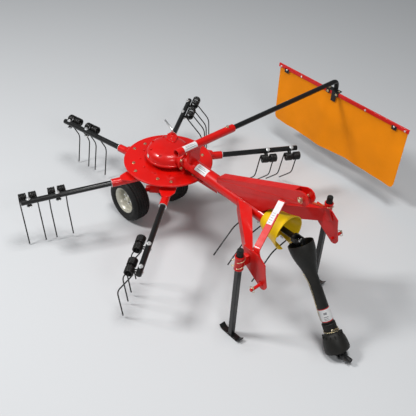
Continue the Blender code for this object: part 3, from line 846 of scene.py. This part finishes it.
class RAKE_OT_headstock(bpy.types.Operator):
    """Make the top strut, mast struts, side arms, hitch plates, pins and linch pins"""
    bl_idname = "rake.headstock"
    bl_label = "Headstock"

    def execute(self, context):
        red = "red_enamel"
        centre = at(0, 0, 0)
        for name in ("side_arm_right", "side_arm_left"):
            refine(name, red, 0.004, 3)
        for name in ("lower_hitch_plate_right", "lower_hitch_plate_left"):
            refine(name, red, 0.0022, 3)
        self.make_top_strut(red, centre)
        for side, suffix in ((-1, "right"), (1, "left")):
            self.make_mast_strut(side, suffix, red, centre)
            self.make_lower_pin(side, suffix, red)
        low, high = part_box("top_link_pin")
        spot = Vector(LINK_SPOT)
        tip = (spot.x, high[1], spot.z)
        pin = round_bar("top_pin", (spot.x, low[1], spot.z), tip, 0.0108, 28, 0.0015)
        ball = round_bar("top_pin_head", (spot.x, high[1] - 0.009, spot.z), tip, 0.0165, 28, 0.002)
        both = merge_into("top_pin", [pin, ball])
        fit(both, "frame", "yellow_zinc")
        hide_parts("top_link_pin")
        linch_pin("top_linch_pin", (spot.x, low[1] + 0.009, spot.z), (0.35, 0, 1), (0.1, 1, 0.2), "frame")
        return {"FINISHED"}

    def make_top_strut(self, red, centre):
        upright = moved(centre) @ turned(90.0, "X")
        refine("top_link_strut", red, 0.006, 3, angle=60.0)
        slope = Vector((0.7405, 0.0, 0.2655)).normalized()
        up = Vector((-slope.z, 0.0, slope.x))
        start = centre + Vector((0.585, 0.0, 0.768)) - up * 0.004
        end = start + slope * 0.735
        skirts = []
        for side in (-1, 1):
            outline = [(0.588, 0.7365), (0.585, 0.762), (1.236, 0.992), (1.246, 0.975), (0.992, 0.7365)]
            plate = flat_plate("strut_side", outline, 0.006, upright, 0.0012)
            skirts.append(settle(plate, moved((0, 0.003 + side * 0.028, 0))))
            aside = Vector((0, side * 0.029, 0))
            skirts.append(round_bar("strut_fold", start + aside, end + aside, 0.0075, 20, 0.002))
        seams = []
        for side in (-1, 1):
            line = [centre + Vector((x, side * 0.0335, 0.7395)) for x in (0.6, 0.72, 0.86, 0.975)]
            seams.append(draw_wire("strut_weld", line, 0.0032))
        whole = merge_into("strut_sides", skirts + seams)
        fit(whole, "frame", red)
        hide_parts("top_link_strut")

    def make_mast_strut(self, side, suffix, red, centre):
        top = Vector((1.172, 0.0365 * side, 0.955))
        knee = Vector((1.262, 0.338 * side, 0.762))
        foot = Vector((1.306, 0.3405 * side, 0.676))
        across = (Vector((1, 0, 0)) - (knee - top).normalized() * (knee - top).normalized().x).normalized()
        lower = (foot - knee).normalized()
        flat = (Vector((1, 0, 0)) - lower * lower.x).normalized()
        path = []
        for step in range(9):
            t = 0.004 + 0.936 * step / 8
            path.append((centre + top.lerp(knee, t), across))
        before, after = top.lerp(knee, 0.94), knee.lerp(foot, 0.28)
        for step in range(1, 8):
            t = step / 8
            spot = (1 - t) ** 2 * before + 2 * t * (1 - t) * knee + t ** 2 * after
            path.append((centre + spot, across.lerp(flat, t)))
        path += [(centre + knee.lerp(foot, t), flat) for t in (0.28, 0.6, 1.0)]
        strut = flat_strip(f"mast_strut_{suffix}_finished", path, 0.049, 0.0078)
        fit(strut, "frame", red)
        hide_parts(f"mast_strut_{suffix}")
        if side > 0:
            return
        lift = (knee - top).normalized().cross(across).normalized()
        lift = lift if lift.z > 0 else -lift
        rise = lift * 0.0043
        begin, stop = top.lerp(knee, 0.035), top.lerp(knee, 0.5)
        paper = flat_strip("mast_label", [(centre + begin.lerp(stop, t) + rise, across) for t in
                                          (0.0, 0.15, 0.3, 0.45, 0.6, 0.75, 0.9, 1.0)], 0.044, 0.0005, 0.0)
        fit(paper, "frame", "label_white")
        edge = centre + across * 0.0185 + lift * 0.0047
        stripe = [(edge + begin.lerp(stop, t), across) for t in (0.5, 0.7, 0.85, 1.0)]
        fit(flat_strip("mast_label_stripe", stripe, 0.0075, 0.0005, 0.0), "frame", "label_red")
        bars = []
        for number in range(5):
            t = 0.52 + 0.1 * number
            length = (0.02, 0.024, 0.017, 0.024, 0.013)[number]
            spot = centre + begin.lerp(stop, t) + lift * 0.0047 - across * 0.006
            line = (stop - begin).normalized()
            ends = [(spot - across * length / 2, line), (spot + across * length / 2, line)]
            bars.append(flat_strip("bar", ends, 0.0032, 0.0005, 0.0))
        fit(merge_into("mast_label_bars", bars), "frame", "label_grey")

    def make_lower_pin(self, side, suffix, red):
        low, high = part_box(f"lower_hitch_pin_{suffix}")
        spot = (Vector(low) + Vector(high)) / 2
        tip = low[1] if side < 0 else high[1]
        root = high[1] if side < 0 else low[1]
        bar = round_bar("pin", (spot.x, root, spot.z), (spot.x, tip, spot.z), 0.0108, 32, 0.0022)
        plate = side * 0.355 + at(0, 0, 0).y
        boss = round_bar("boss", (spot.x, plate + side * 0.0002, spot.z),
                         (spot.x, plate + side * 0.007, spot.z), 0.019, 32, 0.002)
        pin = merge_into(f"hitch_pin_{suffix}", [bar, boss])
        fit(pin, "frame", red)
        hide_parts(f"lower_hitch_pin_{suffix}")
        linch_pin(f"hitch_linch_pin_{suffix}", (spot.x, tip - side * 0.014, spot.z), (0.25, 0, 1),
                  (0.12, 1, 0.15), "frame", 0.019, 0.0225)


# ---------------------------------------------------------------- drive shaft

def sleeve_outline(inner, outer, low, high):
    return [(inner, low), (outer, low), (outer, high), (inner, high)]


class RAKE_OT_drive_shaft(bpy.types.Operator):
    """Make the input guard, both universal joints, the shaft guards, label band and chain"""
    bl_idname = "rake.drive_shaft"
    bl_label = "Drive shaft"

    def execute(self, context):
        black, plastic = "black_enamel", "black_plastic"
        refine("pto_guard", "yellow_plastic", 0.0014, 2, angle=40.0)
        near = Vector(LINES["shaft_lift"]["pos_m"])
        far = Vector(LINES["end_tilt"]["pos_m"])
        along = (far - near).normalized()
        length = (far - near).length
        across = Vector((0, 1, 0))
        upright = along.cross(across).normalized()
        place = moved(near) @ axes(upright, across, along)
        front = Vector((1, 0, 0))
        yoke = self.make_fork("input_fork", near, front, across, 0.06, 0.0335, 0.0195)
        fit(yoke, "frame", black)
        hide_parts("input_yoke")
        fork = self.make_fork("shaft_fork", near, -along, upright, 0.118, 0.03, 0.018)
        fit(fork, "shaft_outer", black)
        for name in ("upper_cross", "lower_cross"):
            refine(name, "bright_zinc", 0.0008)
        lower = self.make_fork("lower_fork", far, along, across, 0.09, 0.03, 0.018)
        fit(lower, "shaft_inner", black)
        end = self.make_fork("tractor_fork", far, -front, Vector((0, 0, 1)), 0.108, 0.032, 0.018)
        fit(end, "tractor_end", black)
        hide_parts("tractor_yoke")
        split = SHAFT_SPLIT
        mouth = 0.088
        outer = [(0.0, 0.112), (0.05, 0.112), (0.07, 0.09), (0.079, 0.062), (0.0825, 0.016),
                 (0.0828, 0.0125), (mouth - 0.0005, 0.0125), (mouth, 0.016), (mouth - 0.0006, 0.04),
                 (mouth - 0.0022, 0.062), (0.08, 0.098), (0.07, 0.135), (0.06, 0.165), (0.0515, 0.195),
                 (0.045, 0.222), (0.0412, 0.24), (0.04, 0.255), (0.04, split - 0.002), (0.0392, split),
                 (0.0325, split), (0.0325, 0.3), (0.0, 0.3)]
        shell = lathe("shaft_guard_upper", outer, place, 64, 0.0, 50.0)
        fit(shell, "shaft_outer", plastic)
        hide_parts("pto_outer_tube")
        inner = [(0.0, split - 0.178), (0.0312, split - 0.178), (0.0312, split + 0.004),
                 (0.044, split + 0.004)]
        for number in range(6):
            spot = split + 0.006 + 0.0105 * number
            inner += [(0.0452, spot), (0.0474, spot + 0.0012), (0.0474, spot + 0.0058),
                      (0.0452, spot + 0.007)]
        inner += [(radius, length - back) for radius, back in (
            (0.048, 0.15), (0.056, 0.142), (0.069, 0.124), (0.071, 0.118), (0.076, 0.104), (0.08, 0.09),
            (0.084, 0.068), (0.0868, 0.04), (0.0872, 0.02), (0.0866, 0.0185), (0.0815, 0.0185),
            (0.079, 0.05), (0.074, 0.075), (0.05, 0.098), (0.0, 0.098))]
        bell = lathe("shaft_guard_lower", inner, place, 64, 0.0, 45.0)
        ribs = []
        for number in range(BELL_RIBS):
            rib = soft_block("bell_rib", (0.06, -0.0035, length - 0.1395), (0.072, 0.0035, length - 0.114),
                             0.0015)
            ribs.append(settle(rib, place @ Matrix.Rotation(math.tau * number / BELL_RIBS, 4, "Z")))
        bell = merge_into("shaft_guard_lower", [bell] + ribs)
        fit(bell, "shaft_inner", plastic)
        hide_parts("pto_inner_tube")
        self.make_band(place, split)
        self.make_chain(place, split)
        return {"FINISHED"}

    def make_fork(self, name, joint, inward, ears, reach, outer, hub):
        """A forged fork: a hub behind the joint and two ears that hold one pair of its pins."""
        joint, inward, ears = Vector(joint), Vector(inward).normalized(), Vector(ears).normalized()
        back = -inward
        side = back.cross(ears).normalized()
        place = moved(joint) @ axes(side, ears, back)
        parts = []
        edge = outer + 0.0005
        for way in (-1, 1):
            low, high = sorted((way * 0.0225, way * edge))
            arm = soft_block("ear", (-0.0165, low, 0.0), (0.0165, high, 0.05), 0.004)
            knob = round_bar("knob", (0, low, 0.0), (0, high, 0.0), 0.0175, 28, 0.003)
            plug = along_bar("plug", Vector(), Vector((0, way, 0)), outer - 0.001, outer + 0.0015, 0.0105,
                             22, 0.0008)
            parts += [settle(piece, place) for piece in (arm, knob, plug)]
        if reach > LEAST_LONG_FORK:
            outline = [(0.0, 0.036), (0.03, 0.036), (edge, 0.04), (edge, 0.052), (hub + 0.006, 0.06),
                       (hub, 0.064), (hub, reach), (0.011, reach), (0.011, reach - 0.014),
                       (0.0, reach - 0.014)]
        else:
            outline = [(0.0, 0.036), (0.03, 0.036), (edge, 0.039), (edge, 0.05), (hub + 0.005, reach),
                       (0.0, reach)]
        parts.append(lathe("fork_base", outline, place, 36))
        return merge_into(name, parts)

    def make_band(self, place, split):
        """A blank label band round the tube, red at both ends, with a few plain bars."""
        radius = 0.0404
        for name, start, end, finish in (("band_white", split - 0.103, split - 0.02, "label_white"),
                                         ("band_red_top", split - 0.1085, split - 0.103, "label_red"),
                                         ("band_red_foot", split - 0.02, split - 0.0145, "label_red")):
            band = lathe(name, sleeve_outline(radius - 0.0003, radius + 0.0003, start, end), place, 56)
            fit(band, "shaft_outer", finish)
        bars = []
        for spot, reach, high in ((0.075, 0.55, 0.016), (0.05, 0.8, 0.007), (0.038, 0.65, 0.005),
                                  (0.028, 0.75, 0.004)):
            outline = sleeve_outline(radius + 0.0002, radius + 0.0006, split - spot - high / 2,
                                     split - spot + high / 2)
            mark = lathe("mark", outline, None, 56)
            into_edit(mark)
            choose_faces(mark, lambda middle, _: abs(math.atan2(middle.y, middle.x) + 0.75) > reach / 2)
            bpy.ops.mesh.delete(type="FACE")
            bpy.ops.object.mode_set(mode="OBJECT")
            edit_all(mark, bpy.ops.mesh.fill_holes, "EDGE", sides=0)
            mend(mark)
            bars.append(settle(mark, place))
        fit(merge_into("band_marks", bars), "shaft_outer", "label_grey")

    def make_chain(self, place, split):
        """The guard's chain: links wound round the collar and lying along the tube."""
        loop = bent([(0, -0.0026, -0.0055), (0, -0.0026, 0.0055), (0, 0.0026, 0.0055), (0, 0.0026, -0.0055),
                     (0, -0.0026, -0.0054)], 0.0026, 3)[:-1]
        link = draw_wire("link", loop, 0.00115, True, 2)
        for name, body, route in (("chain_wound", "shaft_inner", self.wound_route(split)),
                                  ("chain_run", "shaft_outer", self.run_route(split))):
            links, spacing, carry, turn = [], 0.0092, 0.0, 0
            for start, end in zip(route, route[1:]):
                start, end = Vector(start), Vector(end)
                span = (end - start).length
                while carry < span:
                    spot = start.lerp(end, carry / span)
                    aim = line_up(spot, spot + (end - start))
                    links.append(copy_to(link, place @ aim @ turned(45.0 + 90.0 * turn, "Z")))
                    turn += 1
                    carry += spacing
                carry -= span
            fit(merge_into(name, links), body, "yellow_zinc")
        drop(link)

    def wound_route(self, split):
        route = []
        for step in range(61):
            angle = -0.6 + 1.55 * math.tau * step / 60
            reach = 0.05 + 0.0012 * math.sin(3 * angle)
            height = split + 0.05 + 0.021 * step / 60 + 0.004 * math.sin(angle)
            route.append((*polar(reach, angle), height))
        return route

    def run_route(self, split):
        route = []
        for step in range(41):
            t = step / 40
            height = 0.215 + (split - 0.24) * t
            reach = 0.0432 + 0.01 * max(0.0, 1.0 - t * 6.0)
            angle = -math.pi / 2 - 0.3 + 0.25 * math.sin(t * 5.0)
            route.append((*polar(reach, angle), height))
        return route


# ---------------------------------------------------------------- stands

class RAKE_OT_stands(bpy.types.Operator):
    """Make the parking stands with their sleeves, caps, feet and linch pins"""
    bl_idname = "rake.stands"
    bl_label = "Stands"

    def execute(self, context):
        for side, suffix in ((-1, "right"), (1, "left")):
            low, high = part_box(f"stand_leg_{suffix}")
            x, y = (low[0] + high[0]) / 2, (low[1] + high[1]) / 2
            half = 0.0178
            leg = soft_block("stand_tube", (x - half, y - half, 0.0085),
                             (x + half, y + half, high[2] - 0.046), 0.004)
            upright = moved((x, y, low[2])) @ turned(90.0, "X")
            outline = [(-0.066, 0.0003), (0.066, 0.0003), (0.074, 0.003), (0.098, 0.024), (0.094, 0.031),
                       (0.072, 0.011), (0.064, 0.008), (-0.064, 0.008), (-0.072, 0.011), (-0.094, 0.031),
                       (-0.098, 0.024), (-0.074, 0.003)]
            foot = flat_plate("stand_foot", outline, 0.046, upright @ moved((0, 0, -0.023)), 0.001)
            bead = lathe("stand_weld", [(0.0, 0.0), (0.024, 0.0), (0.0215, 0.004), (0.0, 0.004)],
                         moved((x, y, low[2] + 0.0078)), 32)
            whole = merge_into(f"stand_{suffix}_finished", [leg, foot, bead])
            body = body_of(f"stand_leg_{suffix}")
            fit(whole, body, "black_enamel")
            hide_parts(f"stand_leg_{suffix}")
            top = high[2]
            grip = lathe("stand_cap", [(0.0, top - 0.05), (0.0212, top - 0.05), (0.0215, top - 0.046),
                                       (0.0215, top - 0.006), (0.019, top - 0.001), (0.013, top),
                                       (0.0, top)], moved((x, y, 0)), 48)
            into_edit(grip)
            choose_faces(grip, lambda middle, _: top - 0.046 < middle.z < top - 0.006
                         and int((math.atan2(middle.y - y, middle.x - x) + math.pi) / math.tau
                                 * CAP_FLUTES) % 2 == 0)
            bpy.ops.mesh.inset(thickness=0.0003, depth=-0.0016)
            bpy.ops.object.mode_set(mode="OBJECT")
            grip.name = f"stand_cap_{suffix}"
            fit(grip, body, "black_plastic")
            self.make_sleeve(side, suffix, x, y)
        return {"FINISHED"}

    def make_sleeve(self, side, suffix, x, y):
        low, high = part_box(f"stand_sleeve_{suffix}")
        bottom, top = low[2] + 0.028, high[2]
        outline = [(0.0258, bottom), (0.0288, bottom), (0.0298, bottom + 0.001), (0.0298, top - 0.001),
                   (0.0288, top), (0.0258, top)]
        tube = lathe("sleeve", outline, moved((x, y, 0)), 56)
        outline = [(0.029, 0.0), (0.03, 0.0), (0.0322, 0.004), (0.0322, 0.008), (0.03, 0.012),
                   (0.029, 0.012)]
        bands = [lathe("sleeve_band", outline, moved((x, y, foot)), 56) for foot in (bottom, top - 0.0122)]
        plate = at(0, side * 0.3555, 0).y
        inner, outer = sorted((y - side * 0.027, plate))
        tongue = soft_block("sleeve_tongue", (x - 0.019, inner, bottom + 0.016),
                            (x + 0.019, outer, top - 0.026), 0.002)
        whole = merge_into(f"stand_sleeve_{suffix}_finished", [tube, tongue] + bands)
        fit(whole, "frame", "red_enamel")
        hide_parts(f"stand_sleeve_{suffix}")
        facing = Vector((-0.55, side * 0.83, 0)).normalized()
        for number, height in enumerate((top - 0.03, bottom + 0.032)):
            spot = Vector((x, y, height)) + facing * 0.037
            peg = along_bar("peg", spot, facing, -0.0075, 0.011, 0.0045, 16, 0.0008)
            head = along_bar("head", spot, facing, 0.006, 0.0115, 0.007, 18, 0.001)
            start = math.atan2(facing.y, facing.x) - LOOP_SWEEP / 2
            tilted = []
            for step, point in enumerate(ring((x, y, height), 0.0352, (0, 0, 1), 30, start, LOOP_SWEEP)):
                rise = 0.01 * math.cos(LOOP_SWEEP * step / 30 - LOOP_SWEEP / 2)
                tilted.append(point + Vector((0, 0, rise)))
            wire = draw_wire("loop", tilted, 0.0021)
            fit(merge_into(f"stand_linch_{suffix}_{number + 1}", [peg, head, wire]), "frame",
                "yellow_zinc")


# ---------------------------------------------------------------- curtain

class RAKE_OT_curtain(bpy.types.Operator):
    """Make the curtain's arm, rail, clamp, straps and hanging cloth"""
    bl_idname = "rake.curtain"
    bl_label = "Curtain"

    def execute(self, context):
        red = "red_enamel"
        low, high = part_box("curtain_arm")
        slide_low, slide_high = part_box("curtain_slide_tube")
        height = high[2] - 0.03
        x = (low[0] + high[0]) / 2
        tube = hollow_bar("curtain_sleeve", (x, low[1], height), (x, high[1], height), 0.03, 0.0055,
                          0.27, 48)
        beam = at(0, 0, 0).y
        post = soft_block("curtain_post", (x - 0.019, beam - 0.053, BEAM_HIGH[2] - 0.032),
                          (x + 0.019, beam + 0.043, height - 0.022), 0.002)
        nut = hex_bolt("sleeve_screw", 0.017, 0.01, 0.011)
        settle(nut, moved((x, high[1] - 0.06, height + 0.0295)))
        clamp = merge_into("curtain_sleeve", [tube, post])
        fit(clamp, "frame", red)
        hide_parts("curtain_arm")
        fit(nut, "frame", "yellow_zinc")
        elbow_y = slide_high[1] - 0.02
        route = [Vector((x, at(0, -0.06, 0).y, height))]
        route += bent([route[0], (x, elbow_y, height), (x, elbow_y, slide_low[2])], 0.062, 12)[1:]
        arm = draw_wire("curtain_slide_arm", route, 0.0198, False, 8)
        fit(arm, "curtain_slide", "black_enamel")
        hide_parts("curtain_slide_tube")
        begin = at(0, -0.125, 0).y
        paper = tube_label("curtain_label", (x, begin + 0.012, height), (x, begin + 0.132, height), 0.03,
                           (0.55, 0.0, 0.83), math.radians(46.0))
        fit(paper, "frame", None)
        refine("curtain_rail", red, 0.0015)
        self.make_fixings(x, elbow_y)
        self.hang_cloth()
        return {"FINISHED"}

    def make_fixings(self, x, elbow_y):
        low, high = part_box("curtain_rail")
        face, top = low[1], high[2]
        saddle = [soft_block("saddle", (x - 0.066, face - 0.0045, top + 0.0006),
                             (x + 0.066, elbow_y + 0.004, top + 0.0066), 0.0015)]
        for way in (-1, 1):
            ear = x + way * 0.046
            saddle.append(soft_block("saddle_ear", (ear - 0.019, face - 0.0055, low[2] - 0.002),
                                     (ear + 0.019, face - 0.0006, top + 0.0064), 0.0015))
        saddle.append(soft_block("saddle_tongue", (x - 0.004, face - 0.0042, low[2] - 0.056),
                                 (x + 0.044, face - 0.0004, top + 0.006), 0.0012))
        fit(merge_into("curtain_saddle", saddle), "curtain_slide", "black_enamel")
        bolt = hex_bolt("rail_bolt", 0.014, 0.0065, 0.0115)
        out = turned(90.0, "X")
        spots = [moved((x + way * 0.046, face - 0.0056, (low[2] + top) / 2)) @ out for way in (-1, 1)]
        spots += [moved((x + way * 0.05, (face + elbow_y) / 2, top + 0.0067)) for way in (-1, 1)]
        lay_bolts("saddle_bolts", bolt, spots, "curtain_slide", "yellow_zinc")
        hooks, screws = [], []
        for spot in (low[0] + 0.1, high[0] - 0.135):
            hooks.append(soft_block("strap", (spot - 0.024, face - 0.0042, low[2] - 0.024),
                                    (spot + 0.024, face - 0.0004, low[2] + 0.012), 0.0012))
            screws.append(moved((spot, face - 0.0042, low[2] + 0.004)) @ out)
        for spot in (x - 0.35, x + 0.35, high[0] - 0.035, low[0] + 0.03):
            screws.append(moved((spot, face - 0.0003, (low[2] + top) / 2 - 0.004)) @ out)
        fit(merge_into("curtain_straps", hooks), "curtain", "black_enamel")
        small = hex_bolt("rail_screw", 0.01, 0.0045, 0.0085)
        lay_bolts("rail_screws", small, screws, "curtain", "bright_zinc")
        drop(bolt, small)

    def hang_cloth(self):
        """One sheet, straight along the rail and loosely waved at its lower edge."""
        low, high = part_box("curtain_cloth")
        width, drop_length = high[0] - low[0], high[2] - low[2]
        middle = (low[1] + high[1]) / 2
        columns, rows, corner = 120, 48, 0.042
        clear_pick()
        bpy.ops.mesh.primitive_grid_add(x_subdivisions=columns, y_subdivisions=rows, size=1.0,
                                        calc_uvs=True)
        cloth = newest("curtain_sheet")
        for vertex in cloth.data.vertices:
            across, down = vertex.co.x + 0.5, 0.5 - vertex.co.y
            x, z = across * width, down * drop_length
            edge = min(x, width - x)
            if edge < corner:
                rise = corner - math.sqrt(max(0.0, corner ** 2 - (corner - edge) ** 2))
                z *= (drop_length - rise) / drop_length
            loose = (z / drop_length) ** 1.4
            wave = (0.0085 * math.sin(7.3 * x + 0.9) + 0.005 * math.sin(15.1 * x + 2.1)
                    + 0.0022 * math.sin(31.0 * x))
            swell = 0.004 * math.sin(math.pi * across) * math.sin(math.pi * min(1.0, z / drop_length))
            lift = 0.004 * loose * math.sin(9.0 * x)
            vertex.co = (low[0] + x, middle + loose * wave - swell, high[2] - z + lift)
        smooth(thicken(cloth, CLOTH_THICKNESS), 60.0)
        fit(cloth, "curtain", "curtain_weave")
        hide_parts("curtain_cloth")


# ---------------------------------------------------------------- running gear

class RAKE_OT_wheels(bpy.types.Operator):
    """Make the ribbed tyres, dished rims, hubs, axle and column"""
    bl_idname = "rake.wheels"
    bl_label = "Wheels"

    def execute(self, context):
        refine("axle_carrier", "red_enamel", 0.002)
        refine("rotor_column", "bright_zinc", 0.001)
        for side, suffix in ((-1, "right"), (1, "left")):
            low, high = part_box(f"tyre_{suffix}")
            hub = (Vector(low) + Vector(high)) / 2
            radius, half = (high[0] - low[0]) / 2, (high[1] - low[1]) / 2
            outward = moved(hub) @ Matrix.Rotation(-side * math.pi / 2, 4, "X")
            body = body_of(f"tyre_{suffix}")
            self.make_tyre(suffix, radius, half, outward, body)
            self.make_rim(suffix, outward, body)
        return {"FINISHED"}

    def make_tyre(self, suffix, radius, half, outward, body):
        """The section runs from the far bead over the tread to the near bead."""
        side = [(0.1045, 0.05), (0.108, 0.0575), (0.115, 0.0655), (0.118, 0.068), (0.12, 0.0674),
                (0.1225, 0.0695), (0.135, half - 0.0008), (0.15, half), (0.162, half - 0.0035),
                (0.17, half - 0.01), (0.1752, half - 0.018), (0.1785, half - 0.0215)]
        tread = []
        for groove in (0.043, 0.0225, 0.0):
            crown = radius - 0.6 * groove ** 2 / radius * 1.2
            if groove:
                tread += [(crown, groove + 0.004), (crown - 0.005, groove + 0.0022),
                          (crown - 0.005, groove - 0.0022), (crown, groove - 0.004)]
            else:
                tread += [(radius, 0.004), (radius - 0.005, 0.0022)]
        upper = side + tread
        outline = upper + [(r, -y) for r, y in reversed(upper)]
        outline += [(0.104, -0.046), (0.103, -0.04), (0.1036, 0.0), (0.103, 0.04), (0.104, 0.046)]
        tyre = lathe(f"tyre_{suffix}_finished", outline, outward, 96, 0.0, 34.0)
        sipes = []
        for number in range(TYRE_BARS):
            for reach, turn in ((0.0325, 0.0), (-0.0325, 0.5)):
                slit = soft_block("wear_bar", (radius - 0.0062, -0.0016, reach - 0.0052),
                                  (radius - 0.0016, 0.0016, reach + 0.0052), 0.0004)
                sipes.append(settle(slit, outward @ turned(360.0 * (number + turn) / TYRE_BARS, "Z")))
        whole = merge_into(f"tyre_{suffix}_finished", [tyre] + sipes)
        fit(whole, body, "tyre_rubber")
        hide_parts(f"tyre_{suffix}")

    def make_rim(self, suffix, outward, body):
        well = [(0.019, 0.006), (0.03, 0.006), (0.033, 0.012), (0.047, 0.014), (0.052, 0.0085),
                (0.07, -0.006), (0.079, -0.009), (0.085, -0.004), (0.087, 0.012), (0.0885, 0.03),
                (0.093, 0.042), (0.0975, 0.05), (0.102, 0.053), (0.1075, 0.056), (0.109, 0.06),
                (0.1065, 0.0622), (0.103, 0.059), (0.096, 0.0545), (0.09, 0.046), (0.085, 0.033),
                (0.082, 0.013), (0.08, -0.002), (0.078, -0.0045), (0.07, -0.002), (0.054, 0.012),
                (0.048, 0.0175), (0.032, 0.016), (0.028, 0.0095), (0.019, 0.0095)]
        dish = lathe("rim_dish", well, outward, 72, 0.0, 50.0)
        barrel = lathe("rim_barrel", [(0.085, 0.01), (0.088, 0.01), (0.088, -0.04), (0.0975, -0.05),
                                      (0.1065, -0.056), (0.108, -0.0615), (0.1045, -0.06), (0.094, -0.054),
                                      (0.085, -0.043)], outward, 72, 0.0, 50.0)
        rim = merge_into(f"rim_{suffix}_finished", [dish, barrel])
        fit(rim, body, "rim_paint")
        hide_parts(f"wheel_rim_{suffix}")
        # The rim's holes are not cut: each is a thin near-black disc laid on the dish, painted shade for
        # the dark inside of the wheel seen through it.
        holes, spots = [], []
        tilt = Matrix.Rotation(math.atan2(0.014, 0.016), 4, "Y")
        for number in range(WHEEL_NUTS):
            turn = outward @ turned(360.0 * (number + 0.5) / WHEEL_NUTS, "Z")
            hole = round_bar("hole", (0, 0, 0.0), (0, 0, 0.0012), 0.009, 24, 0.0)
            holes.append(settle(hole, turn @ moved((0.0618, 0, 0.0052)) @ tilt))
            spots.append(outward @ turned(360.0 * number / WHEEL_NUTS, "Z") @ moved((0.04, 0, 0.0165)))
        fit(merge_into(f"rim_hole_shade_{suffix}", holes), body, "painted_hole_shade")
        nut = hex_bolt("wheel_nut", 0.015, 0.011, 0.01)
        lay_bolts(f"wheel_nuts_{suffix}", nut, spots, body, "bright_zinc")
        drop(nut)
        cap = lathe(f"hub_cap_{suffix}", [(0.0, -0.03), (0.0195, -0.03), (0.0195, 0.03), (0.018, 0.033),
                                          (0.012, 0.035), (0.0, 0.0355)], outward, 40)
        fit(cap, body, "rim_paint")


# ---------------------------------------------------------------- studio

class RAKE_OT_stage(bpy.types.Operator):
    """Lay the pale floor, hang the soft lights and place the camera"""
    bl_idname = "rake.stage"
    bl_label = "Studio"

    def execute(self, context):
        look = context.scene.rake_studio
        bpy.ops.object.select_all(action="DESELECT")
        bpy.ops.mesh.primitive_plane_add(size=60.0, location=(0.0, 0.0, -0.0005))
        floor = context.object
        floor.name = "studio_floor"
        floor.data.materials.append(floor_finish(look.floor_colour))
        for name, spot, size, power in (("key_light", (-3.0, -4.2, 6.2), 1.4, 400.0),
                                        ("fill_light", (5.5, -2.5, 5.0), 1.8, 110.0),
                                        ("top_light", (1.0, -0.5, 7.5), 2.0, 265.0)):
            bpy.ops.object.light_add(type="AREA", location=spot)
            lamp = context.object
            lamp.name = name
            lamp.data.size = size
            lamp.data.energy = power
            away = Vector(spot) - Vector((0.0, 0.0, 0.4))
            lamp.rotation_euler = away.to_track_quat("Z", "Y").to_euler()
        world = bpy.data.worlds.new("studio_air")
        world.use_nodes = True
        world.node_tree.nodes["Background"].inputs["Color"].default_value = (0.72, 0.76, 0.8, 1.0)
        world.node_tree.nodes["Background"].inputs["Strength"].default_value = 0.24
        context.scene.world = world
        context.scene.view_settings.view_transform = "Standard"
        self.place_camera(context, look)
        return {"FINISHED"}

    def place_camera(self, context, look):
        bpy.ops.object.camera_add(location=at(*look.camera_spot))
        camera = context.object
        camera.name = "studio_camera"
        camera.data.sensor_width = 36.0
        camera.data.lens = look.camera_lens
        turn, dip, roll = look.camera_turn, look.camera_dip, look.camera_roll
        ahead = Vector((math.cos(turn) * math.cos(dip), math.sin(turn) * math.cos(dip), -math.sin(dip)))
        level = Vector((math.sin(turn), -math.cos(turn), 0.0))
        upright = level.cross(ahead)
        right = math.cos(roll) * level + math.sin(roll) * upright
        up = -math.sin(roll) * level + math.cos(roll) * upright
        camera.matrix_world = moved(camera.location) @ axes(right, up, -ahead)
        context.scene.camera = camera


def floor_finish(colour):
    material = bpy.data.materials.new("studio_floor")
    material.use_nodes = True
    shader = material.node_tree.nodes["Principled BSDF"]
    shader.inputs["Base Color"].default_value = (*colour, 1.0)
    shader.inputs["Roughness"].default_value = 0.7
    return material


# ---------------------------------------------------------------- add-on

class RAKE_PT_panel(bpy.types.Panel):
    """The rake's pieces, in the order in which they are made"""
    bl_idname = "RAKE_PT_panel"
    bl_label = "Rotary Hay Rake"
    bl_space_type = "VIEW_3D"
    bl_region_type = "UI"
    bl_category = "Rake"

    def draw(self, context):
        for step in STEPS:
            self.layout.operator(step.bl_idname)


STEPS = (RAKE_OT_stage, RAKE_OT_tine_arms, RAKE_OT_rotor, RAKE_OT_gearbox, RAKE_OT_beam, RAKE_OT_headstock,
         RAKE_OT_drive_shaft, RAKE_OT_stands, RAKE_OT_curtain, RAKE_OT_wheels)
CLASSES = (RakeStudioSettings, RakeFinishSettings, *STEPS, RAKE_PT_panel)


def register():
    for thing in CLASSES:
        bpy.utils.register_class(thing)
    bpy.types.Scene.rake_studio = bpy.props.PointerProperty(type=RakeStudioSettings)
    bpy.types.Scene.rake_finishes = bpy.props.PointerProperty(type=RakeFinishSettings)


def unregister():
    del bpy.types.Scene.rake_finishes
    del bpy.types.Scene.rake_studio
    for thing in reversed(CLASSES):
        bpy.utils.unregister_class(thing)


def main():
    register()
    mix_finishes()
    for step in STEPS:
        group, name = step.bl_idname.split(".")
        getattr(getattr(bpy.ops, group), name)()


if __name__ == "__main__":
    main()
